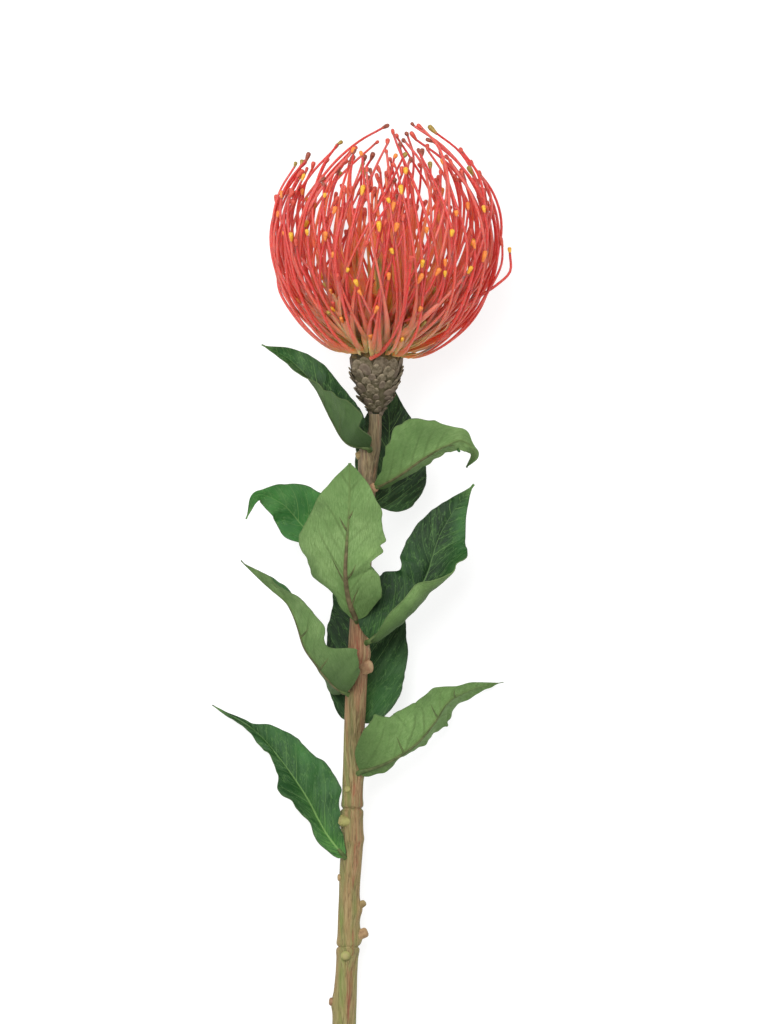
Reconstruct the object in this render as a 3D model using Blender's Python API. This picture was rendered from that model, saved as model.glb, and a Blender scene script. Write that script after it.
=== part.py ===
"""A cut pincushion protea: one stem with its leaves, a scaly involucre and a round head of florets.

The flower lies on a flat surface, z = 0. It rests on the lowest styles of the head, the cut end of the
stem and the tips of two leaves. Every sub-part is drawn first in the flower's own frame, in millimetres:
x across, y along the stem towards the head, z away from the surface, with the origin where the stem
meets the involucre. lay_down tips that frame and sets it on the surface, in metres.
"""

import math
import random

import bmesh
import bpy
import numpy as np

MM = 0.001

# How the flower lies
LAY_ANGLE = math.radians(6.6)  # the stem rises towards the head by this much
REST_HEIGHT = 43.7  # height of the frame's origin above the surface
CENTRE_X = -8.5  # middle of the flower's box in its own x
CENTRE_Y = -100.5  # middle of the flower's box along the surface
SEAT_GAP = 0.3  # clearance left between two pieces that touch

# Head of florets
HEAD_BASE = (-1.4, 27.0, 0.0)  # middle of the involucre's rim
HEAD_LEAN = math.radians(4.7)  # the head leans to +x
HEAD_RADIUS = 55.0
DOME_RADIUS = 12.6
DOME_HEIGHT = 19.0
DOME_SEAT = 0.6  # the leaning dome starts this far above the rim, so that its low side clears it
STYLE_RADIUS = 0.62
FOOT_RADIUS = 1.15
FOOT_GAP = 0.65  # from the dome to the middle of a foot, which meets it at a slant
KNOB_RADIUS = 1.0
STYLE_POINTS = 9
INNER_POINTS = 7

# Rings of outer florets, from the outermost inwards: how many, the radius of their cage as a share of
# the head's, where they stand on the dome (0 is its top), and how far they turn on the way up
FLORET_RINGS = (
    {"count": 16, "cage": 1.00, "stand": 83.0, "sway": 36.0},
    {"count": 15, "cage": 0.93, "stand": 67.0, "sway": -36.0},
    {"count": 13, "cage": 0.86, "stand": 51.0, "sway": 32.0},
)
DOME_SECTORS = 14
INNER_BANDS = (
    {"from": 41.0, "to": 28.0, "every": 1, "cage": 0.66, "end": 118.0},
    {"from": 25.0, "to": 9.0, "every": 2, "cage": 0.34, "end": 104.0},
)

# Stem: points of its centre line, each with the radius there
STEM_LINE = (
    (-1.7, -0.5, 0.0, 3.1),
    (-1.9, -8.0, 0.0, 3.3),
    (-4.4, -17.5, 0.0, 5.2),
    (-5.3, -25.0, 0.0, 4.8),
    (-5.5, -33.0, 0.0, 3.9),
    (-6.2, -42.0, 0.0, 4.0),
    (-8.1, -70.0, 0.0, 4.4),
    (-9.3, -101.0, 0.0, 4.8),
    (-11.0, -133.0, 0.0, 5.1),
    (-12.2, -164.0, 0.0, 5.0),
    (-12.7, -186.0, 0.0, 4.9),
    (-12.9, -206.0, 0.0, 5.2),
    (-13.9, -223.0, 0.0, 5.1),
    (-14.8, -254.0, 0.0, 5.1),
    (-16.3, -281.0, 0.0, 5.4),
    (-17.7, -333.0, 0.0, 5.6),
)
STEM_SIDES = 14
STEM_STEP = 7.0
JOINTS_ALONG_STEM = (-189.0, -255.0)  # grooves that ring the stem
JOINT_DEPTH = 0.7
JOINT_WIDTH = 1.6
# Stubs and scars on the stem: place along it, side (0 is +x, 90 is away from the surface), height, width
STEM_STUBS = (
    (-194.5, 165.0, 2.6, 4.0),
    (-237.0, 10.0, 2.8, 3.6),
    (-250.0, -10.0, 3.4, 3.4),
    (-257.0, 80.0, 2.2, 4.6),
    (-282.0, 172.0, 2.0, 3.6),
    (-115.5, 20.0, 2.6, 4.0),
    (-98.5, 95.0, 1.6, 3.0),
    (-171.5, 15.0, 1.6, 3.6),
)

# Involucre: height above the stem's end and radius at the foot of the scales
INVOLUCRE_PROFILE = (
    (0.0, 3.2),
    (3.6, 5.6),
    (9.0, 8.8),
    (16.5, 11.0),
    (26.2, 12.4),
)
SCALE_ROWS = 8
SCALES_PER_ROW = 13
SCALE_HEIGHT = 1.3

# Leaves. rib: points of the midrib from stem to tip; width: half the blade; roll: 0 shows the upper side
# away from the surface, 180 the under side; fold and curl: degrees that each half rises from the flat and
# goes on turning towards its edge; shape: how the width of each half goes from base to tip
LEAF_THICKNESS = 0.8
LEAF_STATIONS = 13
LEAF_LANES = 2
LEAVES = {
    "leaf_top_left": {
        "rib": ((-4.6, -17.0, 7.2), (-14.0, -15.0, 7.8), (-22.6, -2.5, 5.0), (-29.8, 11.5, 0.0),
                (-42.5, 25.5, -2.0), (-56.0, 32.5, 4.0)),
        "width": 19.0, "roll": (80, 85, 60, 20, 0),
        "fold": ((40, 45, 50, 25, 10), (30, 45, 30, 15, 10)), "curl": ((10, 5, 0, 0), (0,)),
        "shape": ((0.8, 0.9, 1.05, 0.95, 0.7, 0.3, 0.35, 0.35, 0.37, 0.45, 0.5),
                  (0.2, 0.9, 0.65, 0.7, 0.8)),
        "base": 0.5,
    },
    "leaf_behind_top": {
        "rib": ((-5.4, -43.0, -5.8), (1.0, -32.0, -14.0), (4.8, -13.0, -22.0), (4.3, 6.0, -26.0),
                (2.4, 23.0, -27.0)),
        "width": 18.0, "roll": (0,),
        "fold": ((20, 10, 5), (20, 10, 5)), "curl": ((0,), (0,)),
        "shape": ((0.8, 0.9, 1.0, 1.0), (1.35, 1.2, 0.95, 0.8, 0.8)),
        "base": 0.5, "widest": 0.3,
    },
    "leaf_top_right": {
        "rib": ((-2.1, -36.0, 3.4), (7.6, -31.0, 12.0), (21.0, -22.0, 22.0), (31.5, -16.0, 28.0),
                (38.7, -13.5, 28.0), (45.4, -18.5, 22.0), (41.6, -26.0, 12.0)),
        "width": 20.0, "roll": (180,),
        "fold": ((60, 78, 79, 78, 75, 68, 55, 40, 30, 20, 20), (0, -8, -4, 4, 0)),
        "curl": ((0,), (0,)),
        "shape": ((0.5, 0.6, 0.6, 0.6, 0.58, 0.55, 0.55, 0.6, 0.5, 0.5, 0.5),
                  (0.2, 0.33, 0.55, 0.78, 1.07, 1.13, 0.97, 0.56, 0.22, 0.6, 0.9)),
        "base": 0.2, "widest": 0.25,
    },
    "leaf_front": {
        "rib": ((-11.0, -98.5, 7.2), (-14.3, -89.5, 12.5), (-15.8, -78.0, 17.0), (-15.3, -63.5, 18.5),
                (-14.3, -48.0, 18.0), (-13.9, -24.0, 13.0)),
        "width": 21.0, "roll": (180,),
        "fold": ((-15, -5, 5, 5), (10, 10, 5)), "curl": ((0,), (0,)),
        "shape": ((0.7, 1.0, 0.92, 0.62, 0.84, 0.86, 0.95, 1.05, 1.2),
                  (0.2, 0.35, 0.85, 1.12, 1.08, 1.15, 1.2)),
        "widest": 0.48, "taper": 0.95,
    },
    "leaf_middle_left": {
        "rib": ((-9.1, -79.0, -5.6), (-21.0, -65.0, -8.0), (-35.0, -55.5, -9.0), (-47.0, -43.0, -6.0),
                (-58.0, -39.0, -2.0), (-63.5, -50.5, 6.0)),
        "width": 20.0, "roll": (0,),
        "fold": ((-10, 10, 10), (-10, 10, 10)), "curl": ((0,), (0,)),
        "shape": ((0.5, 0.45, 0.4, 0.36, 0.36, 0.56, 0.58, 0.55, 0.5, 0.7, 0.8),
                  (0.8, 0.87, 0.91, 0.99, 1.03, 1.05, 0.97, 0.7, 0.25, 0.34, 0.4)),
    },
    "leaf_middle_right": {
        "rib": ((-3.9, -108.6, 5.2), (6.5, -98.0, 5.2), (20.5, -82.0, 3.0), (29.6, -57.5, -2.0),
                (35.0, -48.0, -3.0), (45.4, -34.0, 0.0)),
        "width": 20.0, "roll": (-50, -50, -40, -15, 0, 0, 0),
        "fold": ((60, 40, 10, 5), (-20, -20, -10, 0, 5, 5, 5)),
        "curl": ((0,), (120, 140, 140, 80, 20, 0, 0)),
        "shape": ((1.0, 1.1, 1.15, 0.95, 0.62, 0.8, 0.88, 0.95, 1.0, 1.0, 1.0),
                  (1.1, 1.15, 1.2, 1.25, 1.1, 1.05, 1.0)),
    },
    "leaf_lower_left": {
        "rib": ((-16.0, -133.5, 4.4), (-19.3, -132.0, 5.5), (-24.4, -127.0, 6.0), (-29.6, -120.0, 5.0),
                (-35.0, -112.5, 4.0), (-38.7, -101.5, 2.0), (-43.0, -92.0, 0.0), (-54.0, -82.0, 0.0),
                (-66.0, -70.5, 2.0)),
        "width": 19.0, "roll": (80, 90, 90, 90, 90),
        "fold": ((30, 50, 50, 45, 45), (-25, -5, 15, 25, 40, 40)), "curl": ((70, 20, 0, 0), (0,)),
        "shape": ((1.3, 1.25, 0.6, 0.72, 0.62, 0.45, 0.8, 0.8), (1.0, 1.0, 1.0, 0.55, 0.85, 0.8)),
        "base": 0.6,
    },
    "leaf_behind_middle": {
        "rib": ((-10.5, -148.5, -6.5), (-8.1, -132.5, -14.0), (-7.2, -113.5, -21.0),
                (-9.1, -92.0, -24.0), (-14.8, -73.0, -22.0), (-23.4, -56.0, -18.0)),
        "width": 22.0, "roll": (0,),
        "fold": ((10, 0, 0), (20, 10, 5)), "curl": ((0,), (0,)),
        "shape": ((0.8, 0.85, 0.85, 0.8, 0.8), (1.0,)),
        "base": 0.3,
    },
    "leaf_lower_right": {
        "rib": ((-9.0, -171.5, 5.4), (2.4, -167.5, 7.0), (18.2, -157.5, 6.0), (26.3, -148.0, 1.0),
                (33.0, -138.5, -6.0), (45.0, -132.5, -18.0), (60.2, -129.5, -29.0)),
        "width": 20.0, "roll": (180,),
        "fold": ((0, 50, 75, 75, 75, 68, 60, 50, 40, 35, 30), (-12, -8, 0, 0)),
        "curl": ((0,), (0,)),
        "shape": ((0.3, 0.3, 0.36, 0.36, 0.44, 0.6, 0.87, 0.8, 0.6, 0.5, 0.4),
                  (1.2, 1.3, 1.22, 0.93, 0.85, 0.7, 0.64, 0.36, 0.42, 0.45, 0.3)),
    },
    "leaf_bottom_left": {
        "rib": ((-16.8, -211.5, 5.0), (-24.0, -202.5, 5.0), (-35.0, -183.2, -3.0), (-45.0, -169.0, -10.0),
                (-60.5, -152.0, -20.0), (-80.5, -140.5, -28.0)),
        "width": 18.0, "roll": (0,),
        "fold": ((30, 40, 42, 36, 30), (10,)), "curl": ((0,), (0,)),
        "shape": ((0.4, 0.44, 0.34, 0.54, 0.71, 0.38, 0.28, 0.36, 0.36, 0.4, 0.5),
                  (0.3, 0.5, 0.75, 0.93, 0.95, 0.86, 0.84, 0.72, 0.24, 0.2, 0.3)),
    },
}

# Two florets that stray from the cage, by the points of their own routes
STRAY_FLORETS = {
    "floret_stray": ((9.5, 31.5, 9.0), (20.0, 36.0, 12.0), (32.0, 44.0, 12.0), (44.0, 53.0, 9.0),
                     (55.5, 60.5, 6.0), (62.0, 66.5, 4.0), (64.0, 73.0, 3.0), (62.5, 76.5, 3.0)),
    "floret_hook": ((-4.3, 25.5, 14.7), (0.5, 28.5, 20.0), (6.0, 34.5, 30.5), (10.5, 44.0, 42.0),
                    (13.5, 57.0, 52.5), (15.0, 70.0, 57.5)),
}


def smooth_steps(values, places):
    """Values at even stations, read at places from 0 to 1 with soft steps between them."""
    values = np.asarray(values, float)
    if len(values) == 1:
        return np.full(len(places), values[0])
    spot = np.clip(np.asarray(places) * (len(values) - 1), 0, len(values) - 1 - 1e-9)
    low = spot.astype(int)
    part = spot - low
    part = part * part * (3 - 2 * part)
    return values[low] * (1 - part) + values[low + 1] * part


def curve_through(points, places):
    """A smooth curve through the points, read at shares of their summed distance."""
    points = np.asarray(points, float)
    reach = np.linalg.norm(np.diff(points[:, :3], axis=0), axis=1)
    knots = np.concatenate([[0.0], np.cumsum(reach)]) / reach.sum()
    slopes = np.gradient(points, knots, axis=0)
    found = []
    for place in places:
        k = min(int(np.searchsorted(knots, place, side="right")) - 1, len(points) - 2)
        span = knots[k + 1] - knots[k]
        t = (place - knots[k]) / span
        found.append(
            (2 * t**3 - 3 * t**2 + 1) * points[k]
            + (t**3 - 2 * t**2 + t) * span * slopes[k]
            + (3 * t**2 - 2 * t**3) * points[k + 1]
            + (t**3 - t**2) * span * slopes[k + 1]
        )
    return np.array(found)


def lay_down(points):
    """Points of the flower's frame, in millimetres, as the flower lies on the surface, in metres."""
    x, y, z = np.asarray(points, float).reshape(-1, 3).T
    along = y * math.cos(LAY_ANGLE) - z * math.sin(LAY_ANGLE)
    up = y * math.sin(LAY_ANGLE) + z * math.cos(LAY_ANGLE)
    return np.column_stack([x - CENTRE_X, along - CENTRE_Y, up + REST_HEIGHT]) * MM


def lift_off(points, clearance):
    """Raises points that would reach below the surface, so that they lie clearance above it."""
    points[:, 2] = np.maximum(points[:, 2], clearance * MM)
    return points


def make_material(name, color, roughness):
    material = bpy.data.materials.new(name)
    material.use_nodes = True
    shader = material.node_tree.nodes["Principled BSDF"]
    shader.inputs["Base Color"].default_value = (*color, 1.0)
    shader.inputs["Roughness"].default_value = roughness
    shader.inputs["Metallic"].default_value = 0.0
    return material


def add_object(name, data, material):
    data.materials.append(material)
    obj = bpy.data.objects.new(name, data)
    bpy.context.scene.collection.objects.link(obj)
    return obj


def mesh_from(name, build):
    """A smooth-shaded mesh filled in by build, with its faces turned outwards."""
    shape = bmesh.new()
    build(shape)
    bmesh.ops.recalc_face_normals(shape, faces=shape.faces[:])
    mesh = bpy.data.meshes.new(name)
    shape.to_mesh(mesh)
    shape.free()
    mesh.shade_smooth()
    mesh.set_sharp_from_angle(angle=math.radians(50))
    return mesh


def loft(shape, rings):
    """Skins rings of points, each a closed loop of as many points, and caps both ends."""
    loops = [[shape.verts.new(point) for point in ring] for ring in rings]
    for below, above in zip(loops, loops[1:]):
        for k in range(len(below)):
            after = (k + 1) % len(below)
            shape.faces.new((below[k], below[after], above[after], above[k]))
    shape.faces.new(loops[0][::-1])
    shape.faces.new(loops[-1])


def stem_rings():
    """Rings of the stem, with its joint grooves, swellings and stubs."""
    length = STEM_LINE[0][1] - STEM_LINE[-1][1]
    places = set(np.linspace(0, 1, round(length / STEM_STEP)))
    for joint in JOINTS_ALONG_STEM:
        middle = (STEM_LINE[0][1] - joint) / length
        places |= {middle + step * JOINT_WIDTH / length for step in (-1, 0, 1)}
    rings = []
    for x, y, z, radius in curve_through(STEM_LINE, sorted(places)):
        ring = []
        for k in range(STEM_SIDES):
            side = 2 * math.pi * k / STEM_SIDES
            bulge = sum(stub_height(stub, y, side) for stub in STEM_STUBS)
            groove = JOINT_DEPTH * sum(bump(y - joint, JOINT_WIDTH / 2) for joint in JOINTS_ALONG_STEM)
            reach = radius + bulge - groove
            ring.append((x + reach * math.cos(side), y, z + reach * math.sin(side)))
        rings.append(lift_off(lay_down(ring), 0.0))
    return rings


def bump(distance, width):
    return math.exp(-((distance / width) ** 2))


def stub_height(stub, y, side):
    """How far one stub stands out at a place along the stem and a side of it."""
    place, angle, height, width = stub
    turn = math.remainder(side - math.radians(angle), 2 * math.pi)
    return height * bump(y - place, width) * bump(turn, 0.55)


def involucre_rings():
    """Rings of the involucre, with rows of scales that overlap upwards like a cone's."""
    top = INVOLUCRE_PROFILE[-1][0]
    heights, radii = zip(*INVOLUCRE_PROFILE)
    sides = 2 * SCALES_PER_ROW
    steps = 3 * SCALE_ROWS
    rings = []
    for step in range(steps + 1):
        share = step / steps
        height = SEAT_GAP + share * (top - SEAT_GAP)
        radius = np.interp(height, heights, radii)
        row = share * SCALE_ROWS
        ring = []
        for k in range(sides):
            side = 2 * math.pi * k / sides
            proud = 0.5 + 0.5 * math.cos(side * SCALES_PER_ROW + math.pi * math.floor(row))
            lift = SCALE_HEIGHT * proud * (row % 1.0) * min(1.0, radius / 6.0)
            reach = radius + lift
            x = HEAD_BASE[0] + reach * math.cos(side)
            ring.append((x, height, reach * math.sin(side)))
        rings.append(lay_down(ring))
    return rings


def head_point(radius, height, turn):
    """A point of the head from its distance to the axis, its height and its turn about the axis."""
    across = radius * math.cos(turn)
    x = HEAD_BASE[0] + across * math.cos(HEAD_LEAN) + height * math.sin(HEAD_LEAN)
    y = HEAD_BASE[1] + height * math.cos(HEAD_LEAN) - across * math.sin(HEAD_LEAN)
    return (x, y, HEAD_BASE[2] + radius * math.sin(turn))


def cage_path(stand, cage, end, count):
    """Radius and height of count points of a floret that stands on the dome and arches over the head.

    The floret follows an ellipse about the head's axis, as tall as the head and cage times as wide,
    from its foot on the dome up to the angle end, where 180 would be the very top.
    """
    foot_radius = (DOME_RADIUS + FOOT_GAP) * math.sin(math.radians(stand))
    foot_height = DOME_SEAT + (DOME_HEIGHT + FOOT_GAP) * math.cos(math.radians(stand))
    first = math.asin(foot_radius / (cage * HEAD_RADIUS))
    rise = (1 - math.cos(first)) / 2
    base = (foot_height - 2 * HEAD_RADIUS * rise) / (1 - rise)
    path = []
    for k in range(count):
        angle = first + (math.radians(end) - first) * k / (count - 1)
        height = base + (2 * HEAD_RADIUS - base) * (1 - math.cos(angle)) / 2
        path.append((cage * HEAD_RADIUS * math.sin(angle), height))
    return path


def floret_curve(name, points, material):
    """A floret as a round tube: a thick foot, a thin style and a knob at its tip."""
    data = bpy.data.curves.new(name, "CURVE")
    data.dimensions = "3D"
    data.bevel_depth = STYLE_RADIUS * MM
    data.bevel_resolution = 1
    data.use_fill_caps = True
    spline = data.splines.new("POLY")
    spline.points.add(len(points) - 1)
    places = np.linspace(0, 1, len(points))
    for point, place, where in zip(spline.points, places, points):
        point.co = (*where, 1.0)
        foot = max(0.0, 1 - place / 0.3)
        point.radius = 1 + (FOOT_RADIUS / STYLE_RADIUS - 1) * foot
    spline.points[-2].radius = KNOB_RADIUS / STYLE_RADIUS
    spline.points[-1].radius = 0.7 * KNOB_RADIUS / STYLE_RADIUS
    return add_object(name, data, material)


def with_knob(points):
    """The points of a floret with two more where its knob swells and ends."""
    ahead = points[-1] - points[-2]
    ahead /= np.linalg.norm(ahead)
    return np.vstack([points, points[-1] + 1.2 * MM * ahead, points[-1] + 3.0 * MM * ahead])


def make_florets(material):
    chance = random.Random(11)
    number = 0
    for depth, ring in enumerate(FLORET_RINGS):
        step = 2 * math.pi / ring["count"]
        for k in range(ring["count"]):
            number += 1
            turn = -math.pi / 2 + (k + 0.5) * step + math.radians(chance.uniform(-2.5, 2.5))
            end = chance.uniform(104, 140)
            sway = math.radians(ring["sway"] + chance.uniform(-3, 3))
            path = cage_path(ring["stand"], ring["cage"], end, STYLE_POINTS)
            spots = [
                head_point(radius, height, turn + sway * (j / (STYLE_POINTS - 1)) * end / 140)
                for j, (radius, height) in enumerate(path)
            ]
            points = lift_off(with_knob(lay_down(spots)), STYLE_RADIUS + 2.2 * depth)
            floret_curve(f"floret_{number:02d}", points, material)
    for name, route in STRAY_FLORETS.items():
        spots = curve_through(route, np.linspace(0, 1, STYLE_POINTS))
        floret_curve(name, with_knob(lay_down(spots)), material)


def make_receptacle(material):
    """The dome that carries the head, with the inner florets grown out of its faces."""

    def build(shape):
        bands = sorted({edge for band in INNER_BANDS for edge in (band["from"], band["to"])}, reverse=True)
        rings = []
        for angle in [90.0, 70.0, 55.0, *bands]:
            radius = DOME_RADIUS * math.sin(math.radians(angle))
            height = DOME_SEAT + DOME_HEIGHT * math.cos(math.radians(angle))
            turns = [2 * math.pi * k / DOME_SECTORS for k in range(DOME_SECTORS)]
            rings.append(lay_down([head_point(radius, height, turn) for turn in turns]))
        loft(shape, rings)
        for band in INNER_BANDS:
            grow_inner_florets(shape, band)

    return add_object("receptacle_with_inner_florets", mesh_from("receptacle", build), material)


def grow_inner_florets(shape, band):
    """Draws florets out of one band of the dome's faces, a face at a time."""
    middle = (band["from"] + band["to"]) / 2
    dome_radius = DOME_RADIUS * math.sin(math.radians(middle))
    dome_height = DOME_SEAT + DOME_HEIGHT * math.cos(math.radians(middle))
    path = cage_path(middle, band["cage"], band["end"], INNER_POINTS)[1:]
    for sector in range(0, DOME_SECTORS, band["every"]):
        turn = 2 * math.pi * (sector + 0.5) / DOME_SECTORS
        spot = lay_down([head_point(dome_radius, dome_height, turn)])[0]
        face = min(shape.faces, key=lambda each: np.linalg.norm(np.array(each.calc_center_median()) - spot))
        bmesh.ops.inset_individual(shape, faces=[face], thickness=0.35 * MM)
        for radius, height in path:
            grown = bmesh.ops.extrude_discrete_faces(shape, faces=[face])
            face = grown["faces"][0]
            target = lay_down([head_point(radius, height, turn)])[0]
            centre = np.array(face.calc_center_median())
            reach = max((corner.co - face.calc_center_median()).length for corner in face.verts)
            shrink = min(1.0, STYLE_RADIUS * MM * 1.3 / reach)
            for corner in face.verts:
                corner.co = target + (np.array(corner.co) - centre) * shrink


def leaf_widths(places, base, widest, taper):
    """How wide the blade is from its rounded base to its drawn-out tip, as a share of the widest."""
    swell = np.clip(places / widest, 0, 1)
    low = base + (1 - base) * np.sqrt(1 - (1 - swell) ** 2)
    fall = np.clip((places - widest) / (1 - widest), 0, 1)
    high = np.maximum(np.cos(fall * math.pi / 2), 0.0) ** taper
    return np.maximum(np.where(places < widest, low, high), 0.03)


def leaf_grid(leaf, stations, lanes):
    """Points of the blade's middle surface: lanes from the left edge over the midrib to the right."""
    places = np.linspace(0, 1, stations)
    rib = curve_through(leaf["rib"], places)
    ahead = np.gradient(rib, axis=0)
    ahead /= np.linalg.norm(ahead, axis=1)[:, None]
    across = np.cross(ahead, (0.0, 0.0, 1.0))
    across /= np.linalg.norm(across, axis=1)[:, None]
    roll = np.radians(smooth_steps(leaf["roll"], places))[:, None]
    upper = np.cos(roll) * np.cross(across, ahead) + np.sin(roll) * across
    side = np.cross(ahead, upper)
    widths = leaf["width"] * leaf_widths(
        places, leaf.get("base", 0.22), leaf.get("widest", 0.36), leaf.get("taper", 1.25)
    )
    halves = []
    for sign, fold, curl, shape in zip((-1, 1), leaf["fold"], leaf["curl"], leaf["shape"]):
        rise = np.radians(smooth_steps(fold, places))
        turn = np.radians(smooth_steps(curl, places))
        lane = widths * smooth_steps(shape, places) / lanes
        half = [rib]
        for k in range(lanes):
            angle = rise + turn * (k + 0.5) / lanes
            step = sign * np.cos(angle)[:, None] * side + np.sin(angle)[:, None] * upper
            half.append(half[-1] + lane[:, None] * step)
        halves.append(half)
    return np.array(halves[0][:0:-1] + halves[1])


def make_leaf(name, leaf, material):
    """A leaf as one curved sheet, thickened on both sides."""
    grid = leaf_grid(leaf, LEAF_STATIONS, LEAF_LANES)

    def build(shape):
        laid = [lift_off(lay_down(row), LEAF_THICKNESS / 2) for row in grid]
        rows = [[shape.verts.new(point) for point in row] for row in laid]
        for row, after in zip(rows, rows[1:]):
            for k in range(len(row) - 1):
                shape.faces.new((row[k], after[k], after[k + 1], row[k + 1]))

    leaf_object = add_object(name, mesh_from(name, build), material)
    thicken = leaf_object.modifiers.new("blade", "SOLIDIFY")
    thicken.thickness = LEAF_THICKNESS * MM
    thicken.offset = 0.0
    return leaf_object


def main():
    for old in list(bpy.data.objects):
        bpy.data.objects.remove(old)
    stem_bark = make_material("stem_bark", (0.36, 0.25, 0.14), 0.7)
    scale_bark = make_material("involucre_scales", (0.24, 0.18, 0.14), 0.85)
    leaf_green = make_material("leaf_green", (0.09, 0.22, 0.08), 0.5)
    floret_red = make_material("floret_red", (0.75, 0.10, 0.06), 0.4)
    floret_base = make_material("receptacle", (0.45, 0.22, 0.10), 0.6)
    add_object("stem", mesh_from("stem", lambda shape: loft(shape, stem_rings())), stem_bark)
    involucre = mesh_from("involucre", lambda shape: loft(shape, involucre_rings()))
    add_object("involucre", involucre, scale_bark)
    make_receptacle(floret_base)
    make_florets(floret_red)
    for name, leaf in LEAVES.items():
        make_leaf(name, leaf, leaf_green)


main()
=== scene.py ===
"""Looks of the cut pincushion protea: fine leaves, stem, scaly involucre and a head of straps and styles.

Every piece is drawn in the flower's own frame, in millimetres: x across, y along the stem towards the
head, z towards the viewer, with the origin where the stem meets the involucre. lay_down tips that frame
and sets it on the surface, in metres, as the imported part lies.
"""

import math
import random

import bpy
import numpy as np
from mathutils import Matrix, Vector


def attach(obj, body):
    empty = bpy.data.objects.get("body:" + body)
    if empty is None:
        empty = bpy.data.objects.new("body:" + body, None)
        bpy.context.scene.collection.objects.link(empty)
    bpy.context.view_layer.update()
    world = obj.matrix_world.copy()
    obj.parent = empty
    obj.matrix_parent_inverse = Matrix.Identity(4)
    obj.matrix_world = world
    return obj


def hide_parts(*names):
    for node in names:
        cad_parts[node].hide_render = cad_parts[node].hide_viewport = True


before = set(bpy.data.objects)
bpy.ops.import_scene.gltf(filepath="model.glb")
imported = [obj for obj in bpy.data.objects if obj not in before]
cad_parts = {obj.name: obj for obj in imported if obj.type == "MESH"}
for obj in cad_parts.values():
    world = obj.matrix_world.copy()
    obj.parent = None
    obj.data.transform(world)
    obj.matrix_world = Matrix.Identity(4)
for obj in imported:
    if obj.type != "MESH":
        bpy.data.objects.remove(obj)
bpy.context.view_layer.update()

MM = 0.001

# Seeds of the random draws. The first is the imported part's own, so that the florets' routes agree.
PACKED_SEED = 11
PACKED_LOOKS_SEED = 29
FILL_SEED = 47
STEM_SEED = 5
INVOLUCRE_SEED = 17

# Degrees between two faces above which the edge between them looks sharp
LEAF_SHARP = 60
BARK_SHARP = 70
FLORET_SHARP = 75

# How the flower lies
LAY_ANGLE = math.radians(6.6)
REST_HEIGHT = 43.7
CENTRE_X = -8.5
CENTRE_Y = -100.5
CLEARANCE = 0.15  # nothing of the looks comes nearer to the surface

# Head
HEAD_BASE = (-1.4, 27.0, 0.0)
HEAD_LEAN = math.radians(4.7)
HEAD_RADIUS = 55.0
DOME_RADIUS = 12.6
DOME_HEIGHT = 19.0
DOME_SEAT = 0.6
FOOT_GAP = 0.65
DOME_SIDES = 72
DOME_RINGS = 46
DOME_INSET = 0.5
SOCKET_HEIGHT = 0.35
SOCKETS_UP = 26
SOCKETS_ROUND = 22
DOME_COLLAR = ((11.2, -2.6), (12.1, -0.9))  # radius and height of the dark collar under the dome
STYLE_POINTS = 9
FLORET_RINGS = (
    {"count": 16, "cage": 1.00, "stand": 83.0, "sway": 36.0},
    {"count": 15, "cage": 0.93, "stand": 67.0, "sway": -36.0},
    {"count": 13, "cage": 0.86, "stand": 51.0, "sway": 32.0},
)
FLORET_STATIONS = 34
STYLE_LOOK_RADIUS = 0.66
STYLE_SPREAD = (0.92, 1.1)  # how thin and how thick a style can be, as a share of the usual
STYLE_TAPER = 0.14  # share of a style's thickness that is gone at its end
STRAP_DEPTH = 0.42
STRAP_CUP = 0.35
STRAP_FOOT = 0.72  # width of a strap's foot, as a share of the strap's
STRAP_SIDES = 10
STRAP_WIDTHS = (1.4, 2.3)
KNOB_REACH = (-0.4, 0.0, 0.6, 1.3, 2.0, 2.5, 2.75)
KNOB_SWELL = (0.5, 0.62, 0.8, 1.0, 1.08, 0.92, 0.4)
KNOB_SIZES = (0.85, 1.35)
KNOB_STRETCH = (0.8, 1.5)
KNOB_LEAN = (0.15, 0.6)
KNOB_SIDES = 8
KNOBS = {"yellow": 1, "orange": 2, "red": 3, "brown": 4, "olive": 5}  # places among a floret's finishes

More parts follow.
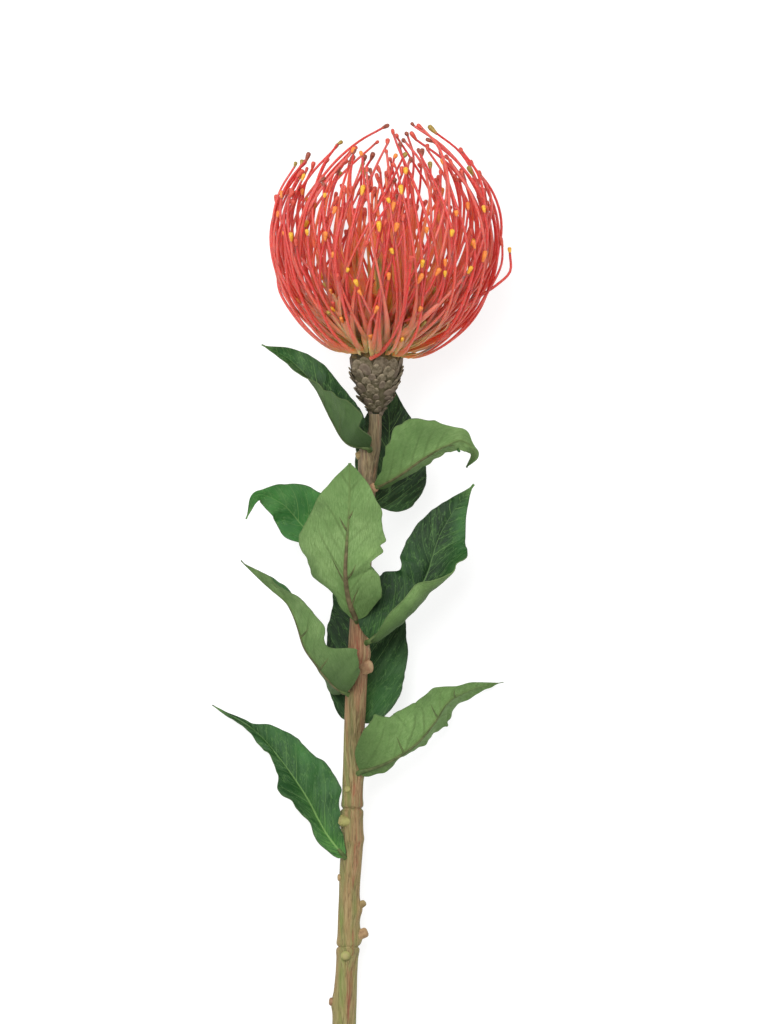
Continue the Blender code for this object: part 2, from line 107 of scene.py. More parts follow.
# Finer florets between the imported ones: how many, radius of their cage, where they stand on the dome,
# how far they turn on the way up, the span of angles their tips end at, and the span of shares at which
# the strap has become a style; where given, how far the foot droops, the span of the strap's half width
# and the gap that they leave in front
FILL_RINGS = (
    {"count": 24, "cage": 0.99, "stand": 87.0, "sway": 16.0, "ends": (78, 120), "strap": (0.24, 0.42),
     "droop": 2.6, "wide": (1.1, 1.7)},
    {"count": 15, "cage": 0.98, "stand": 80.0, "sway": -58.0, "ends": (84, 130), "strap": (0.34, 0.5),
     "droop": 1.2},
    {"count": 16, "cage": 0.91, "stand": 72.0, "sway": 62.0, "ends": (84, 128), "strap": (0.4, 0.6)},
    {"count": 17, "cage": 0.83, "stand": 60.0, "sway": -56.0, "ends": (88, 128), "strap": (0.5, 0.75),
     "gap": 14.0},
    {"count": 17, "cage": 0.74, "stand": 48.0, "sway": 52.0, "ends": (92, 128), "strap": (0.6, 0.9),
     "gap": 16.0},
    {"count": 17, "cage": 0.62, "stand": 38.0, "sway": -44.0, "ends": (92, 126), "strap": (0.7, 1.05),
     "gap": 18.0},
    {"count": 15, "cage": 0.46, "stand": 27.0, "sway": 36.0, "ends": (92, 120), "strap": (0.8, 1.2)},
    {"count": 13, "cage": 0.30, "stand": 16.0, "sway": -40.0, "ends": (90, 118), "strap": (0.8, 1.2)},
    {"count": 7, "cage": 0.15, "stand": 8.0, "sway": 60.0, "ends": (84, 108), "strap": (0.8, 1.2)},
    {"count": 24, "cage": 0.86, "stand": 74.0, "sway": 20.0, "ends": (40, 66), "strap": (1.5, 2.2),
     "wide": (1.2, 1.8)},
    {"count": 20, "cage": 0.64, "stand": 54.0, "sway": -20.0, "ends": (44, 70), "strap": (1.5, 2.2),
     "wide": (1.2, 1.8)},
)

CROWN_FROM = 112.0  # places along the flower above which knobs are browner, and redder
SHOULDER_FROM = 95.0

# How far the crown's and the face's florets twist and where they stand, in degrees, and their cages
CROWN_TWIST = (12, 62)
CROWN_STANDS = (50, 80)
CROWN_CAGES = (0.84, 0.99)
FACE_TWIST = (-22, 22)
FACE_STANDS = (60, 84)
FACE_CAGES = (0.9, 0.98)
SHORT_STRAP_WIDTHS = (1.5, 2.2)

# Tips that stand out at the crown: x, y, depth, finish of the knob
CROWN_TIPS = (
    (-40.0, 116.4, 12.0, "olive"), (-34.0, 119.2, 18.0, "brown"), (-25.7, 120.4, -20.0, "red"),
    (-13.3, 122.4, 30.0, "orange"), (1.8, 135.9, 8.0, "brown"), (7.0, 131.5, 20.0, "red"),
    (9.4, 132.3, -6.0, "red"), (-1.8, 129.9, -16.0, "red"), (16.2, 137.1, 6.0, "brown"),
    (14.2, 133.9, -12.0, "brown"), (20.9, 134.7, 16.0, "red"), (26.9, 134.3, -8.0, "olive"),
    (26.5, 128.3, 18.0, "brown"), (40.1, 124.0, 10.0, "red"), (45.3, 118.8, -10.0, "red"),
    (39.3, 112.8, 26.0, "red"), (52.4, 98.5, 8.0, "red"), (-49.1, 99.7, 4.0, "red"),
    (-36.8, 109.6, 24.0, "yellow"), (-45.6, 102.4, 14.0, "orange"), (10.6, 124.4, 30.0, "brown"),
    (14.6, 120.8, -20.0, "red"), (-8.1, 120.8, 34.0, "orange"), (7.8, 119.2, 36.0, "orange"),
    (11.4, 119.6, 34.0, "olive"), (31.0, 117.0, 30.0, "orange"),
    (4.2, 127.8, 14.0, "red"), (12.0, 128.6, 10.0, "brown"), (18.4, 130.9, -2.0, "red"),
    (23.1, 125.3, 12.0, "red"), (29.3, 124.4, -14.0, "brown"), (20.4, 121.5, 24.0, "brown"),
    (-3.4, 123.2, -24.0, "brown"), (33.6, 121.0, 4.0, "red"), (-19.6, 113.6, 22.0, "brown"),
    (-30.1, 111.2, -16.0, "red"), (1.4, 114.8, 12.0, "red"), (5.6, 116.3, -26.0, "brown"),
)

# Short florets whose knobs face the viewer: x, y, finish of the knob
FACE_TIPS = (
    (5.0, 97.7, "yellow"), (0.2, 84.5, "yellow"), (7.8, 84.5, "orange"), (6.6, 73.8, "yellow"),
    (-14.9, 65.4, "yellow"), (-10.1, 59.0, "yellow"), (4.6, 61.8, "orange"), (13.0, 55.8, "yellow"),
    (20.2, 67.8, "yellow"), (30.9, 63.4, "yellow"), (42.1, 65.4, "yellow"), (34.1, 82.5, "yellow"),
    (49.2, 71.4, "orange"), (-8.1, 101.7, "yellow"), (-21.3, 92.9, "orange"), (-41.2, 80.9, "yellow"),
    (-33.6, 82.9, "yellow"), (-25.2, 80.5, "orange"), (12.6, 111.6, "yellow"), (10.6, 102.1, "yellow"),
    (-8.1, 54.6, "orange"), (-1.8, 46.7, "orange"), (19.0, 47.5, "orange"), (-21.7, 72.2, "orange"),
    (-6.5, 77.3, "red"), (18.5, 60.6, "orange"), (26.9, 64.2, "orange"), (50.0, 94.5, "yellow"),
    (-25.7, 100.5, "yellow"), (31.2, 68.5, "orange"), (-19.5, 61.5, "red"), (36.5, 92.0, "orange"),
)

# Short stubs at the foot of the head's front: tip, foot, finish of the end
FRONT_STUBS = (
    ((-12.5, 37.1, 25.0), (-9.5, 28.0, 14.5), "orange"),
    ((-3.7, 34.8, 27.0), (-2.4, 27.0, 15.0), "orange"),
    ((2.2, 41.9, 28.0), (3.4, 30.0, 16.0), "orange"),
    ((10.6, 33.6, 28.0), (8.6, 28.5, 14.0), "yellow"),
    ((13.4, 41.9, 30.0), (9.0, 31.0, 15.0), "orange"),
    ((-17.0, 42.5, 27.0), (-10.5, 31.5, 14.0), "orange"),
    ((-7.4, 38.0, 26.0), (-6.4, 29.0, 14.5), "olive"),
    ((-25.0, 59.0, 34.0), (-14.0, 40.0, 15.0), "olive"),
    ((-22.4, 56.0, 33.0), (-13.0, 38.5, 15.0), "orange"),
    ((25.5, 56.0, 32.0), (12.5, 38.0, 14.0), "olive"),
    ((27.0, 49.5, 31.0), (13.5, 36.0, 14.0), "orange"),
    ((-2.6, 46.6, 33.0), (-1.0, 34.0, 16.0), "yellow"),
    ((20.0, 40.5, 28.0), (12.0, 31.0, 13.0), "olive"),
    ((-23.0, 46.0, 28.0), (-12.0, 32.5, 12.5), "olive"),
)

STRAY_FLORETS = {
    "floret_stray": ((9.5, 31.5, 9.0), (20.0, 36.0, 12.0), (32.0, 44.0, 12.0), (44.0, 53.0, 9.0),
                     (55.5, 60.5, 6.0), (62.0, 66.5, 4.0), (64.0, 73.0, 3.0), (62.5, 76.5, 3.0)),
    "floret_hook": ((-4.3, 25.5, 14.7), (0.5, 28.5, 20.0), (6.0, 34.5, 30.5), (10.5, 44.0, 42.0),
                    (13.5, 57.0, 52.5), (15.0, 70.0, 57.5)),
}

# Stem: points of its centre line, each with the radius there
STEM_LINE = (
    (-1.7, -0.5, 0.0, 3.1),
    (-1.9, -8.0, 0.0, 3.3),
    (-4.4, -17.5, 0.0, 5.2),
    (-5.3, -25.0, 0.0, 4.8),
    (-5.5, -33.0, 0.0, 3.9),
    (-6.2, -42.0, 0.0, 4.0),
    (-8.1, -70.0, 0.0, 4.4),
    (-9.3, -101.0, 0.0, 4.8),
    (-11.0, -133.0, 0.0, 5.1),
    (-12.2, -164.0, 0.0, 5.0),
    (-12.7, -186.0, 0.0, 4.9),
    (-12.9, -206.0, 0.0, 5.2),
    (-13.9, -223.0, 0.0, 5.1),
    (-14.8, -254.0, 0.0, 5.1),
    (-16.3, -281.0, 0.0, 5.4),
    (-17.7, -333.0, 0.0, 5.6),
)
STEM_SIDES = 56
STEM_STEP = 0.9
JOINTS_ALONG_STEM = (-189.0, -255.0)  # grooves that ring the stem
# Stubs and scars on the stem: place along it, side (0 is +x, 90 is away from the surface), height, width
STEM_STUBS = (
    (-194.5, 165.0, 2.6, 4.0),
    (-237.0, 10.0, 2.8, 3.6),
    (-250.0, -10.0, 3.4, 3.4),
    (-257.0, 80.0, 2.2, 4.6),
    (-282.0, 172.0, 2.0, 3.6),
    (-115.5, 20.0, 2.6, 4.0),
    (-98.5, 95.0, 1.6, 3.0),
    (-171.5, 15.0, 1.6, 3.6),
)

# Stubs, buds and scars that stand out of the stem: place along it, side (0 is +x, 90 faces the viewer),
# length, radius, tilt towards the head, and blush from 0 for olive to 1 for pinkish tan
STEM_NUBS = (
    (-195.0, 141.0, 3.8, 2.8, 8.0, 0.1),
    (-236.5, 12.0, 3.8, 1.7, 35.0, 0.5),
    (-250.0, 2.0, 4.6, 2.5, 22.0, 0.8),
    (-259.0, 98.0, 2.1, 2.3, 0.0, 0.0),
    (-281.5, 174.0, 2.2, 2.0, 5.0, 0.9),
    (-121.5, 28.0, 2.6, 3.3, 10.0, 0.9),
    (-108.5, 18.0, 1.6, 1.7, 30.0, 0.8),
    (-99.0, 70.0, 1.2, 1.8, 10.0, 0.8),
    (-132.5, 158.0, 2.2, 2.5, 10.0, 0.9),
    (-171.0, 12.0, 3.4, 2.6, 25.0, 0.6),
    (-179.5, 122.0, 0.8, 1.6, 0.0, 0.0),
    (-222.0, 170.0, 0.9, 1.7, 0.0, 0.7),
    (-296.0, -5.0, 0.8, 1.6, 0.0, 0.9),
    (-36.5, 45.0, 2.4, 2.3, 20.0, 1.0),
    (-20.0, 172.0, 1.2, 1.9, -20.0, 0.55),
    (-211.0, 150.0, 1.6, 1.8, 20.0, 0.5),
)
# Tints of the bark: place along it, side, how far each reaches along and round, from -1 green to 1 red
STEM_TINTS = (
    (-283.0, 62.0, 9.0, 0.42, 1.0),
    (-268.0, 66.0, 8.0, 0.3, 0.6),
    (-283.0, 118.0, 14.0, 0.5, -0.8),
    (-262.0, 112.0, 9.0, 0.6, -0.8),
    (-242.0, 135.0, 10.0, 0.5, -0.7),
    (-222.0, 150.0, 9.0, 0.4, -0.5),
    (-215.0, 70.0, 16.0, 0.35, 0.4),
    (-168.0, 150.0, 22.0, 0.5, -1.0),
    (-150.0, 60.0, 20.0, 0.6, 0.5),
    (-120.0, 80.0, 12.0, 1.0, 0.7),
    (-103.0, 95.0, 10.0, 0.8, 0.8),
    (-182.0, 130.0, 6.0, 0.6, -0.6),
)
STEM_RING = (-203.5, 0.45, 2.2)  # an old leaf's scar that rings the stem: place, height, width

FIBRES = ((22.0, 0.13), (6.0, 0.05))  # how long the stem's lengthwise fibres are, and how proud
STEM_WAVE = (13.0, 0.22)  # how long its slow waves are, and how deep

# Joints: a rounded collar on each side of a groove (height, distance from the joint, width), the groove's
# depth and width, and where the stem has extra rings by a joint
COLLAR = (0.34, 2.2, 1.9)
GROOVE = (0.72, 0.6)
JOINT_RINGS = (-1.2, -0.7, -0.3, 0.3, 0.7, 1.2)
STUB_TURN = 0.6  # how far a stub's swelling reaches round the stem, in radians
NUB_ROOT = 1.3  # how deep a nub starts inside the stem
NUB_REACH = (0.0, 0.5, 0.8, 0.93, 1.0, 1.0)
NUB_SWELL = (1.15, 1.0, 0.98, 0.84, 0.5, 0.15)
NUB_SIDES = 18

# Involucre: height above the stem's end and radius at the foot of the scales
INVOLUCRE_PROFILE = (
    (0.0, 3.2),
    (3.6, 5.6),
    (9.0, 8.8),
    (16.5, 11.0),
    (26.2, 12.4),
)
CORE_SPAN = (0.3, 26.0)  # heights between which the scales' core runs
CORE_INSET = 0.4
CORE_RINGS = 30
CORE_SIDES = 40
SCALE_COUNTS = (8, 8, 10, 10, 12, 12, 12, 12, 12)  # scales in each row, from the foot
SCALE_FIRST_ROW = -0.9
SCALE_ROW_STEP = 2.35
SCALE_HALF_WIDTHS = (2.1, 2.8)
SCALE_LENGTHS = (4.4, 5.8)
SCALE_THICKNESS = 0.5
SCALE_SIDES = 12
BRACTS = 11
BRACT_HEIGHT = 18.6
BRACT_HALF_WIDTHS = (3.2, 4.6)
BRACT_LENGTHS = (7.4, 9.2)
BRACT_THICKNESS = 0.7
# A scale from foot to tip: share of its length, width and depth
SCALE_SHARES = (0.0, 0.15, 0.4, 0.65, 0.82, 0.93, 1.0)
SCALE_WIDTHS = (0.7, 0.92, 1.0, 0.88, 0.66, 0.44, 0.14)
SCALE_DEPTHS = (0.5, 0.65, 0.72, 0.8, 0.85, 0.75, 0.3)

# Leaves. rib: points of the midrib from stem to tip; width: half the blade; roll: 0 shows the upper side
# away from the surface, 180 the under side; fold and curl: degrees that each half rises from the flat and
# goes on turning towards its edge; shape: how the width of each half goes from base to tip
LEAVES = {
    "leaf_top_left": {
        "rib": ((-4.6, -17.0, 7.2), (-14.0, -15.0, 7.8), (-22.6, -2.5, 5.0), (-29.8, 11.5, 0.0),
                (-42.5, 25.5, -2.0), (-56.0, 32.5, 4.0)),
        "width": 19.0, "roll": (80, 85, 60, 20, 0),
        "fold": ((40, 45, 50, 25, 10), (30, 45, 30, 15, 10)), "curl": ((10, 5, 0, 0), (0,)),
        "shape": ((0.8, 0.9, 1.05, 0.95, 0.7, 0.3, 0.35, 0.35, 0.37, 0.45, 0.5),
                  (0.2, 0.9, 0.65, 0.7, 0.8)),
        "base": 0.5,
    },
    "leaf_behind_top": {
        "rib": ((-5.4, -43.0, -5.8), (1.0, -32.0, -14.0), (4.8, -13.0, -22.0), (4.3, 6.0, -26.0),
                (2.4, 23.0, -27.0)),
        "width": 18.0, "roll": (0,),
        "fold": ((20, 10, 5), (20, 10, 5)), "curl": ((0,), (0,)),
        "shape": ((0.8, 0.9, 1.0, 1.0), (1.35, 1.2, 0.95, 0.8, 0.8)),
        "base": 0.5, "widest": 0.3,
    },
    "leaf_top_right": {
        "rib": ((-2.1, -36.0, 3.4), (7.6, -31.0, 12.0), (21.0, -22.0, 22.0), (31.5, -16.0, 28.0),
                (38.7, -13.5, 28.0), (45.4, -18.5, 22.0), (41.6, -26.0, 12.0)),
        "width": 20.0, "roll": (180,),
        "fold": ((60, 78, 79, 78, 75, 68, 55, 40, 30, 20, 20), (0, -8, -4, 4, 0)),
        "curl": ((0,), (0,)),
        "shape": ((0.5, 0.6, 0.6, 0.6, 0.58, 0.55, 0.55, 0.6, 0.5, 0.5, 0.5),
                  (0.2, 0.33, 0.55, 0.78, 1.07, 1.13, 0.97, 0.56, 0.22, 0.6, 0.9)),
        "base": 0.2, "widest": 0.25,
    },
    "leaf_front": {
        "rib": ((-11.0, -98.5, 7.2), (-14.3, -89.5, 12.5), (-15.8, -78.0, 17.0), (-15.3, -63.5, 18.5),
                (-14.3, -48.0, 18.0), (-13.9, -24.0, 13.0)),
        "width": 21.0, "roll": (180,),
        "fold": ((-15, -5, 5, 5), (10, 10, 5)), "curl": ((0,), (0,)),
        "shape": ((0.7, 1.0, 0.92, 0.62, 0.84, 0.86, 0.95, 1.05, 1.2),
                  (0.2, 0.35, 0.85, 1.12, 1.08, 1.15, 1.2)),
        "widest": 0.48, "taper": 0.95,
    },
    "leaf_middle_left": {
        "rib": ((-9.1, -79.0, -5.6), (-21.0, -65.0, -8.0), (-35.0, -55.5, -9.0), (-47.0, -43.0, -6.0),
                (-58.0, -39.0, -2.0), (-63.5, -50.5, 6.0)),
        "width": 20.0, "roll": (0,),
        "fold": ((-10, 10, 10), (-10, 10, 10)), "curl": ((0,), (0,)),
        "shape": ((0.5, 0.45, 0.4, 0.36, 0.36, 0.56, 0.58, 0.55, 0.5, 0.7, 0.8),
                  (0.8, 0.87, 0.91, 0.99, 1.03, 1.05, 0.97, 0.7, 0.25, 0.34, 0.4)),
    },
    "leaf_middle_right": {
        "rib": ((-3.9, -108.6, 5.2), (6.5, -98.0, 5.2), (20.5, -82.0, 3.0), (29.6, -57.5, -2.0),
                (35.0, -48.0, -3.0), (45.4, -34.0, 0.0)),
        "width": 20.0, "roll": (-50, -50, -40, -15, 0, 0, 0),
        "fold": ((60, 40, 10, 5), (-20, -20, -10, 0, 5, 5, 5)),
        "curl": ((0,), (120, 140, 140, 80, 20, 0, 0)),
        "shape": ((1.0, 1.1, 1.15, 0.95, 0.62, 0.8, 0.88, 0.95, 1.0, 1.0, 1.0),
                  (1.1, 1.15, 1.2, 1.25, 1.1, 1.05, 1.0)),
    },
    "leaf_lower_left": {
        "rib": ((-16.0, -133.5, 4.4), (-19.3, -132.0, 5.5), (-24.4, -127.0, 6.0), (-29.6, -120.0, 5.0),
                (-35.0, -112.5, 4.0), (-38.7, -101.5, 2.0), (-43.0, -92.0, 0.0), (-54.0, -82.0, 0.0),
                (-66.0, -70.5, 2.0)),
        "width": 19.0, "roll": (80, 90, 90, 90, 90),
        "fold": ((30, 50, 50, 45, 45), (-25, -5, 15, 25, 40, 40)), "curl": ((70, 20, 0, 0), (0,)),
        "shape": ((1.3, 1.25, 0.6, 0.72, 0.62, 0.45, 0.8, 0.8), (1.0, 1.0, 1.0, 0.55, 0.85, 0.8)),
        "base": 0.6,
    },
    "leaf_behind_middle": {
        "rib": ((-10.5, -148.5, -6.5), (-8.1, -132.5, -14.0), (-7.2, -113.5, -21.0),
                (-9.1, -92.0, -24.0), (-14.8, -73.0, -22.0), (-23.4, -56.0, -18.0)),
        "width": 22.0, "roll": (0,),
        "fold": ((10, 0, 0), (20, 10, 5)), "curl": ((0,), (0,)),
        "shape": ((0.8, 0.85, 0.85, 0.8, 0.8), (1.0,)),
        "base": 0.3,
    },
    "leaf_lower_right": {
        "rib": ((-9.0, -171.5, 5.4), (2.4, -167.5, 7.0), (18.2, -157.5, 6.0), (26.3, -148.0, 1.0),
                (33.0, -138.5, -6.0), (45.0, -132.5, -18.0), (60.2, -129.5, -29.0)),
        "width": 20.0, "roll": (180,),
        "fold": ((0, 50, 75, 75, 75, 68, 60, 50, 40, 35, 30), (-12, -8, 0, 0)),
        "curl": ((0,), (0,)),
        "shape": ((0.3, 0.3, 0.36, 0.36, 0.44, 0.6, 0.87, 0.8, 0.6, 0.5, 0.4),
                  (1.2, 1.3, 1.22, 0.93, 0.85, 0.7, 0.64, 0.36, 0.42, 0.45, 0.3)),
    },
    "leaf_bottom_left": {
        "rib": ((-16.8, -211.5, 5.0), (-24.0, -202.5, 5.0), (-35.0, -183.2, -3.0), (-45.0, -169.0, -10.0),
                (-60.5, -152.0, -20.0), (-80.5, -140.5, -28.0)),
        "width": 18.0, "roll": (0,),
        "fold": ((30, 40, 42, 36, 30), (10,)), "curl": ((0,), (0,)),
        "shape": ((0.4, 0.44, 0.34, 0.54, 0.71, 0.38, 0.28, 0.36, 0.36, 0.4, 0.5),
                  (0.3, 0.5, 0.75, 0.93, 0.95, 0.86, 0.84, 0.72, 0.24, 0.2, 0.3)),
    },
}

LEAF_STATIONS = 120
LEAF_LANES = 22
LEAF_CLOTH = 0.45
LEAF_RELIEF = 0.62
LEAF_CUSHION = 0.28
LEAF_VEIN_SPACING = 8.5
LEAF_SLANT = 1.1
EDGE_WAVERS = ((7.0, 0.05), (2.6, 0.02))  # how long and how deep a blade's width wavers
RIPPLE_SIZES = (1.0, 0.55, 0.3)
SWING_LENGTHS = (31.0, 19.0, 12.5)
VEINS_AT_MOST = 40
MIDRIB_GROOVE = (0.4, 1.3)  # depth and width
STRAY_CREASES = 11
STRAY_CREASE = {"start": (0.05, 0.85), "reach": (0.5, 1.0), "advance": (0.04, 0.2), "rise": (0.2, 0.5),
                "width": (1.0, 2.0)}
VEIN_SINK = 0.12  # how deep the midrib's moulding sits in the cloth
BRANCH_SINK = 0.2
PLAIN_RIB = (0.6, 0.2, 0.8)  # thickness, brown and end of a midrib, where a leaf gives no other
RIB_STATIONS = 60
BRANCH_STATIONS = 26
BRANCH_RADII = (0.12, 0.56)  # at a branch's tip, and how much thicker at its foot
VEIN_SIDES = 10
STALK_RINGS = 10
STALK_WIDTHS = (1.5, 0.95)  # half the stalk's width at the stem and at the blade
STALK_DEPTHS = (1.3, 0.85)
STALK_SIDES = 12
MAP_SPAN = 100.0  # millimetres that one unit of the blade map stands for
ORDER_SPAN = 20.0  # veins that one unit of the vein map stands for

# Looks of each leaf: how far its edges ripple and the lengths of those ripples; painted shade laid
# over the leaf, from 0 for a leaf in full light to 1 for one in shadow; fresh, how yellow-green it is; rib,
# how thick its raised midrib is, how brown, and where it ends; veins, the raised ones of its under side
# (start, half, reach to the edge, advance); creases (start, half, reach, advance, rise, width); patches of
# painted shade, and of painted light where the shade added is below 0 (place, side, their reach along and
# across, painted shade and freshness added); edges (place, half, reach, how much wider)
LEAF_LOOKS = {
    "leaf_top_left": {
        "ripple": 0.5, "waves": (34.0, 21.0, 9.0), "seed": 3, "painted_shade": 0.85, "fresh": 0.2,
        "veins": ((0.22, -1, 0.5, 0.1), (0.42, -1, 0.5, 0.1)),
        "creases": ((0.2, -1, 0.9, 0.12, -0.9, 1.6), (0.34, -1, 0.9, 0.1, 0.8, 1.5),
                    (0.5, 1, 0.9, 0.1, 0.9, 1.5)),
        "patches": ((0.0, 0.0, 0.14, 2.0, 0.3, 0.0), (0.3, 0.0, 0.3, 0.22, 0.5, 0.0),
                    (0.22, -0.2, 0.08, 0.25, 0.4, 0.0), (0.85, 0.0, 0.1, 1.0, -0.3, 0.2)),
        "edges": ((0.42, 1, 0.12, 0.16), (0.42, -1, 0.12, 0.1)),
    },
    "leaf_behind_top": {
        "ripple": 0.7, "waves": (30.0, 17.0, 8.0), "seed": 4, "painted_shade": 1.0, "fresh": 0.1,
    },
    "leaf_top_right": {
        "ripple": 0.6, "waves": (40.0, 23.0, 10.0), "seed": 5, "painted_shade": 0.08, "fresh": 0.3,
        "rib": (0.8, 0.6, 0.78),
        "veins": ((0.45, -1, 0.5, 0.03), (0.62, -1, 0.45, 0.04)),
        "creases": ((0.25, -1, 1.0, 0.12, -0.9, 1.4), (0.47, -1, 1.0, 0.05, 0.8, 1.5),
                    (0.75, -1, 1.0, 0.03, -0.7, 1.6)),
        "patches": ((1.0, 0.0, 0.15, 2.0, 1.0, -0.2), (0.3, -0.5, 0.06, 0.6, 0.25, 0.0),
                    (0.0, 0.0, 0.12, 2.0, 0.3, 0.0), (0.5, 0.6, 0.3, 0.5, 0.35, 0.2)),
    },
    "leaf_front": {
        "ripple": 0.6, "waves": (31.0, 20.0, 9.0), "seed": 6, "painted_shade": 0.12, "fresh": 0.0,
        "rib": (1.25, 1.0, 0.72),
        "veins": ((0.25, 1, 0.42, 0.19), (0.28, -1, 0.5, 0.12), (0.58, 1, 0.28, 0.1),
                  (0.655, -1, 0.14, 0.06), (0.09, -1, 0.4, 0.16)),
        "creases": ((0.28, -1, 1.05, 0.25, -1.5, 2.0), (0.26, -1, 1.0, 0.09, 1.3, 1.6),
                    (0.24, 1, 0.8, 0.24, 0.8, 1.6), (0.58, 1, 0.9, 0.14, -0.6, 2.4)),
        "patches": ((0.15, -0.7, 0.12, 0.55, 0.32, 0.6), (0.28, 0.98, 0.2, 0.2, 0.6, 0.0),
                    (0.73, 0.85, 0.05, 0.3, 0.4, 0.0), (0.44, -0.7, 0.05, 0.4, -0.12, 0.5),
                    (0.95, 0.0, 0.1, 2.0, 0.15, 0.3)),
        "edges": ((0.5, -1, 0.018, -0.1), (0.54, -1, 0.02, 0.02), (0.46, -1, 0.016, 0.05),
                  (0.39, -1, 0.03, -0.1)),
    },
    "leaf_middle_left": {
        "ripple": 0.6, "waves": (33.0, 18.0, 9.0), "seed": 7, "painted_shade": 0.0, "fresh": 0.5,
        "creases": ((0.3, 1, 0.9, 0.15, 0.9, 1.8), (0.5, -1, 0.9, 0.1, -0.8, 1.8),
                    (0.15, -1, 0.9, 0.12, 0.8, 1.6)),
        "patches": ((0.1, -0.8, 0.15, 0.4, -0.3, 0.4), (0.35, 0.7, 0.1, 0.3, 0.5, -0.3)),
    },
    "leaf_middle_right": {
        "ripple": 0.7, "waves": (27.0, 15.0, 7.0), "seed": 8, "painted_shade": 0.95, "fresh": 0.1,
        "veins": ((0.5, -1, 0.5, 0.1),),
        "creases": ((0.45, -1, 0.9, 0.15, 0.9, 1.8), (0.6, 1, 0.9, 0.1, -0.8, 1.8)),
        "patches": ((0.35, 1.0, 0.3, 0.3, -0.8, 0.5), (0.75, 0.7, 0.25, 0.4, -0.4, 0.4),
                    (0.1, 0.0, 0.15, 2.0, -0.2, 0.2)),
    },
    "leaf_lower_left": {
        "ripple": 0.6, "waves": (29.0, 19.0, 8.0), "seed": 9, "painted_shade": 0.3, "fresh": 0.1,
        "rib": (0.7, 0.7, 0.8),
        "veins": ((0.2, -1, 0.6, 0.03), (0.42, -1, 0.5, 0.04)),
        "creases": ((0.3, -1, 1.0, 0.05, -0.9, 1.6), (0.1, -1, 1.0, 0.06, 0.9, 1.6)),
        "patches": ((0.12, 0.0, 0.16, 2.0, 0.5, 0.2), (0.8, 0.0, 0.15, 2.0, 0.25, 0.0)),
    },
    "leaf_behind_middle": {
        "ripple": 0.8, "waves": (36.0, 22.0, 11.0), "seed": 10, "painted_shade": 0.95, "fresh": 0.7,
        "patches": ((0.12, 0.3, 0.12, 0.6, -0.4, 0.3), (0.3, 0.7, 0.08, 0.3, -0.2, 0.3)),
    },
    "leaf_lower_right": {
        "ripple": 0.9, "waves": (24.0, 13.0, 6.5), "seed": 12, "painted_shade": 0.15, "fresh": 0.45,
        "rib": (0.7, 0.3, 0.8),
        "veins": ((0.24, 1, 0.5, 0.02), (0.5, 1, 0.6, 0.05), (0.66, 1, 0.7, 0.03)),
        "creases": ((0.3, 1, 1.0, 0.05, -0.8, 1.5), (0.6, 1, 1.0, 0.04, 0.8, 1.5)),
        "patches": ((0.0, 0.0, 0.1, 2.0, 0.4, 0.0), (0.55, 0.8, 0.08, 0.3, 0.3, 0.0),
                    (0.95, 0.0, 0.1, 2.0, 0.3, 0.2)),
    },
    "leaf_bottom_left": {
        "ripple": 0.9, "waves": (25.0, 14.0, 7.0), "seed": 13, "painted_shade": 0.62, "fresh": 0.8,
        "creases": ((0.3, 1, 0.9, 0.12, 0.9, 1.8), (0.55, -1, 0.9, 0.1, -0.8, 1.8)),
        "patches": ((0.9, 0.0, 0.12, 2.0, 0.3, -0.4), (0.5, 0.8, 0.15, 0.3, -0.3, -0.2)),
    },
}

# Stage
FLOOR_SIDE = 12.0
FLOOR_GREY = (0.32, 0.32, 0.32, 1.0)
FLOOR_GLOW = 0.78
SURROUND_STRENGTH = 0.5
WHITE = (1.0, 1.0, 1.0, 1.0)
LIT_SPOT = (0.0, 0.0, 0.03)  # where the lamps aim
# Lamps: name, place, size, power
STUDIO_LIGHTS = (
    ("overhead_softbox", (-0.42, 0.5, 1.65), (1.15, 1.15), 30.0),
    ("right_fill", (1.3, -0.4, 1.0), (0.9, 0.9), 5.0),
)
VIEW_CENTRE = (2.4, -47.3, 0.0)
VIEW_DISTANCE = 2800.0
VIEW_HEIGHT = 489.5


def smooth_steps(values, places):
    """Values at even stations, read at places from 0 to 1 with soft steps between them."""
    values = np.asarray(values, float)
    if len(values) == 1:
        return np.full(len(places), values[0])
    spot = np.clip(np.asarray(places) * (len(values) - 1), 0, len(values) - 1 - 1e-9)
    low = spot.astype(int)
    part = spot - low
    part = part * part * (3 - 2 * part)
    return values[low] * (1 - part) + values[low + 1] * part


def curve_through(points, places):
    """A smooth curve through the points, read at shares of their summed distance."""
    points = np.asarray(points, float)
    reach = np.linalg.norm(np.diff(points[:, :3], axis=0), axis=1)
    knots = np.concatenate([[0.0], np.cumsum(reach)]) / reach.sum()
    slopes = np.gradient(points, knots, axis=0)
    found = []
    for place in places:
        k = min(int(np.searchsorted(knots, place, side="right")) - 1, len(points) - 2)
        span = knots[k + 1] - knots[k]
        t = (place - knots[k]) / span
        found.append(
            (2 * t**3 - 3 * t**2 + 1) * points[k]
            + (t**3 - 2 * t**2 + t) * span * slopes[k]
            + (3 * t**2 - 2 * t**3) * points[k + 1]
            + (t**3 - t**2) * span * slopes[k + 1]
        )
    return np.array(found)


def lay_down(points):
    """Points of the flower's frame, in millimetres, as the flower lies on the surface, in metres."""
    x, y, z = np.asarray(points, float).reshape(-1, 3).T
    along = y * math.cos(LAY_ANGLE) - z * math.sin(LAY_ANGLE)
    up = y * math.sin(LAY_ANGLE) + z * math.cos(LAY_ANGLE)
    return np.column_stack([x - CENTRE_X, along - CENTRE_Y, up + REST_HEIGHT]) * MM


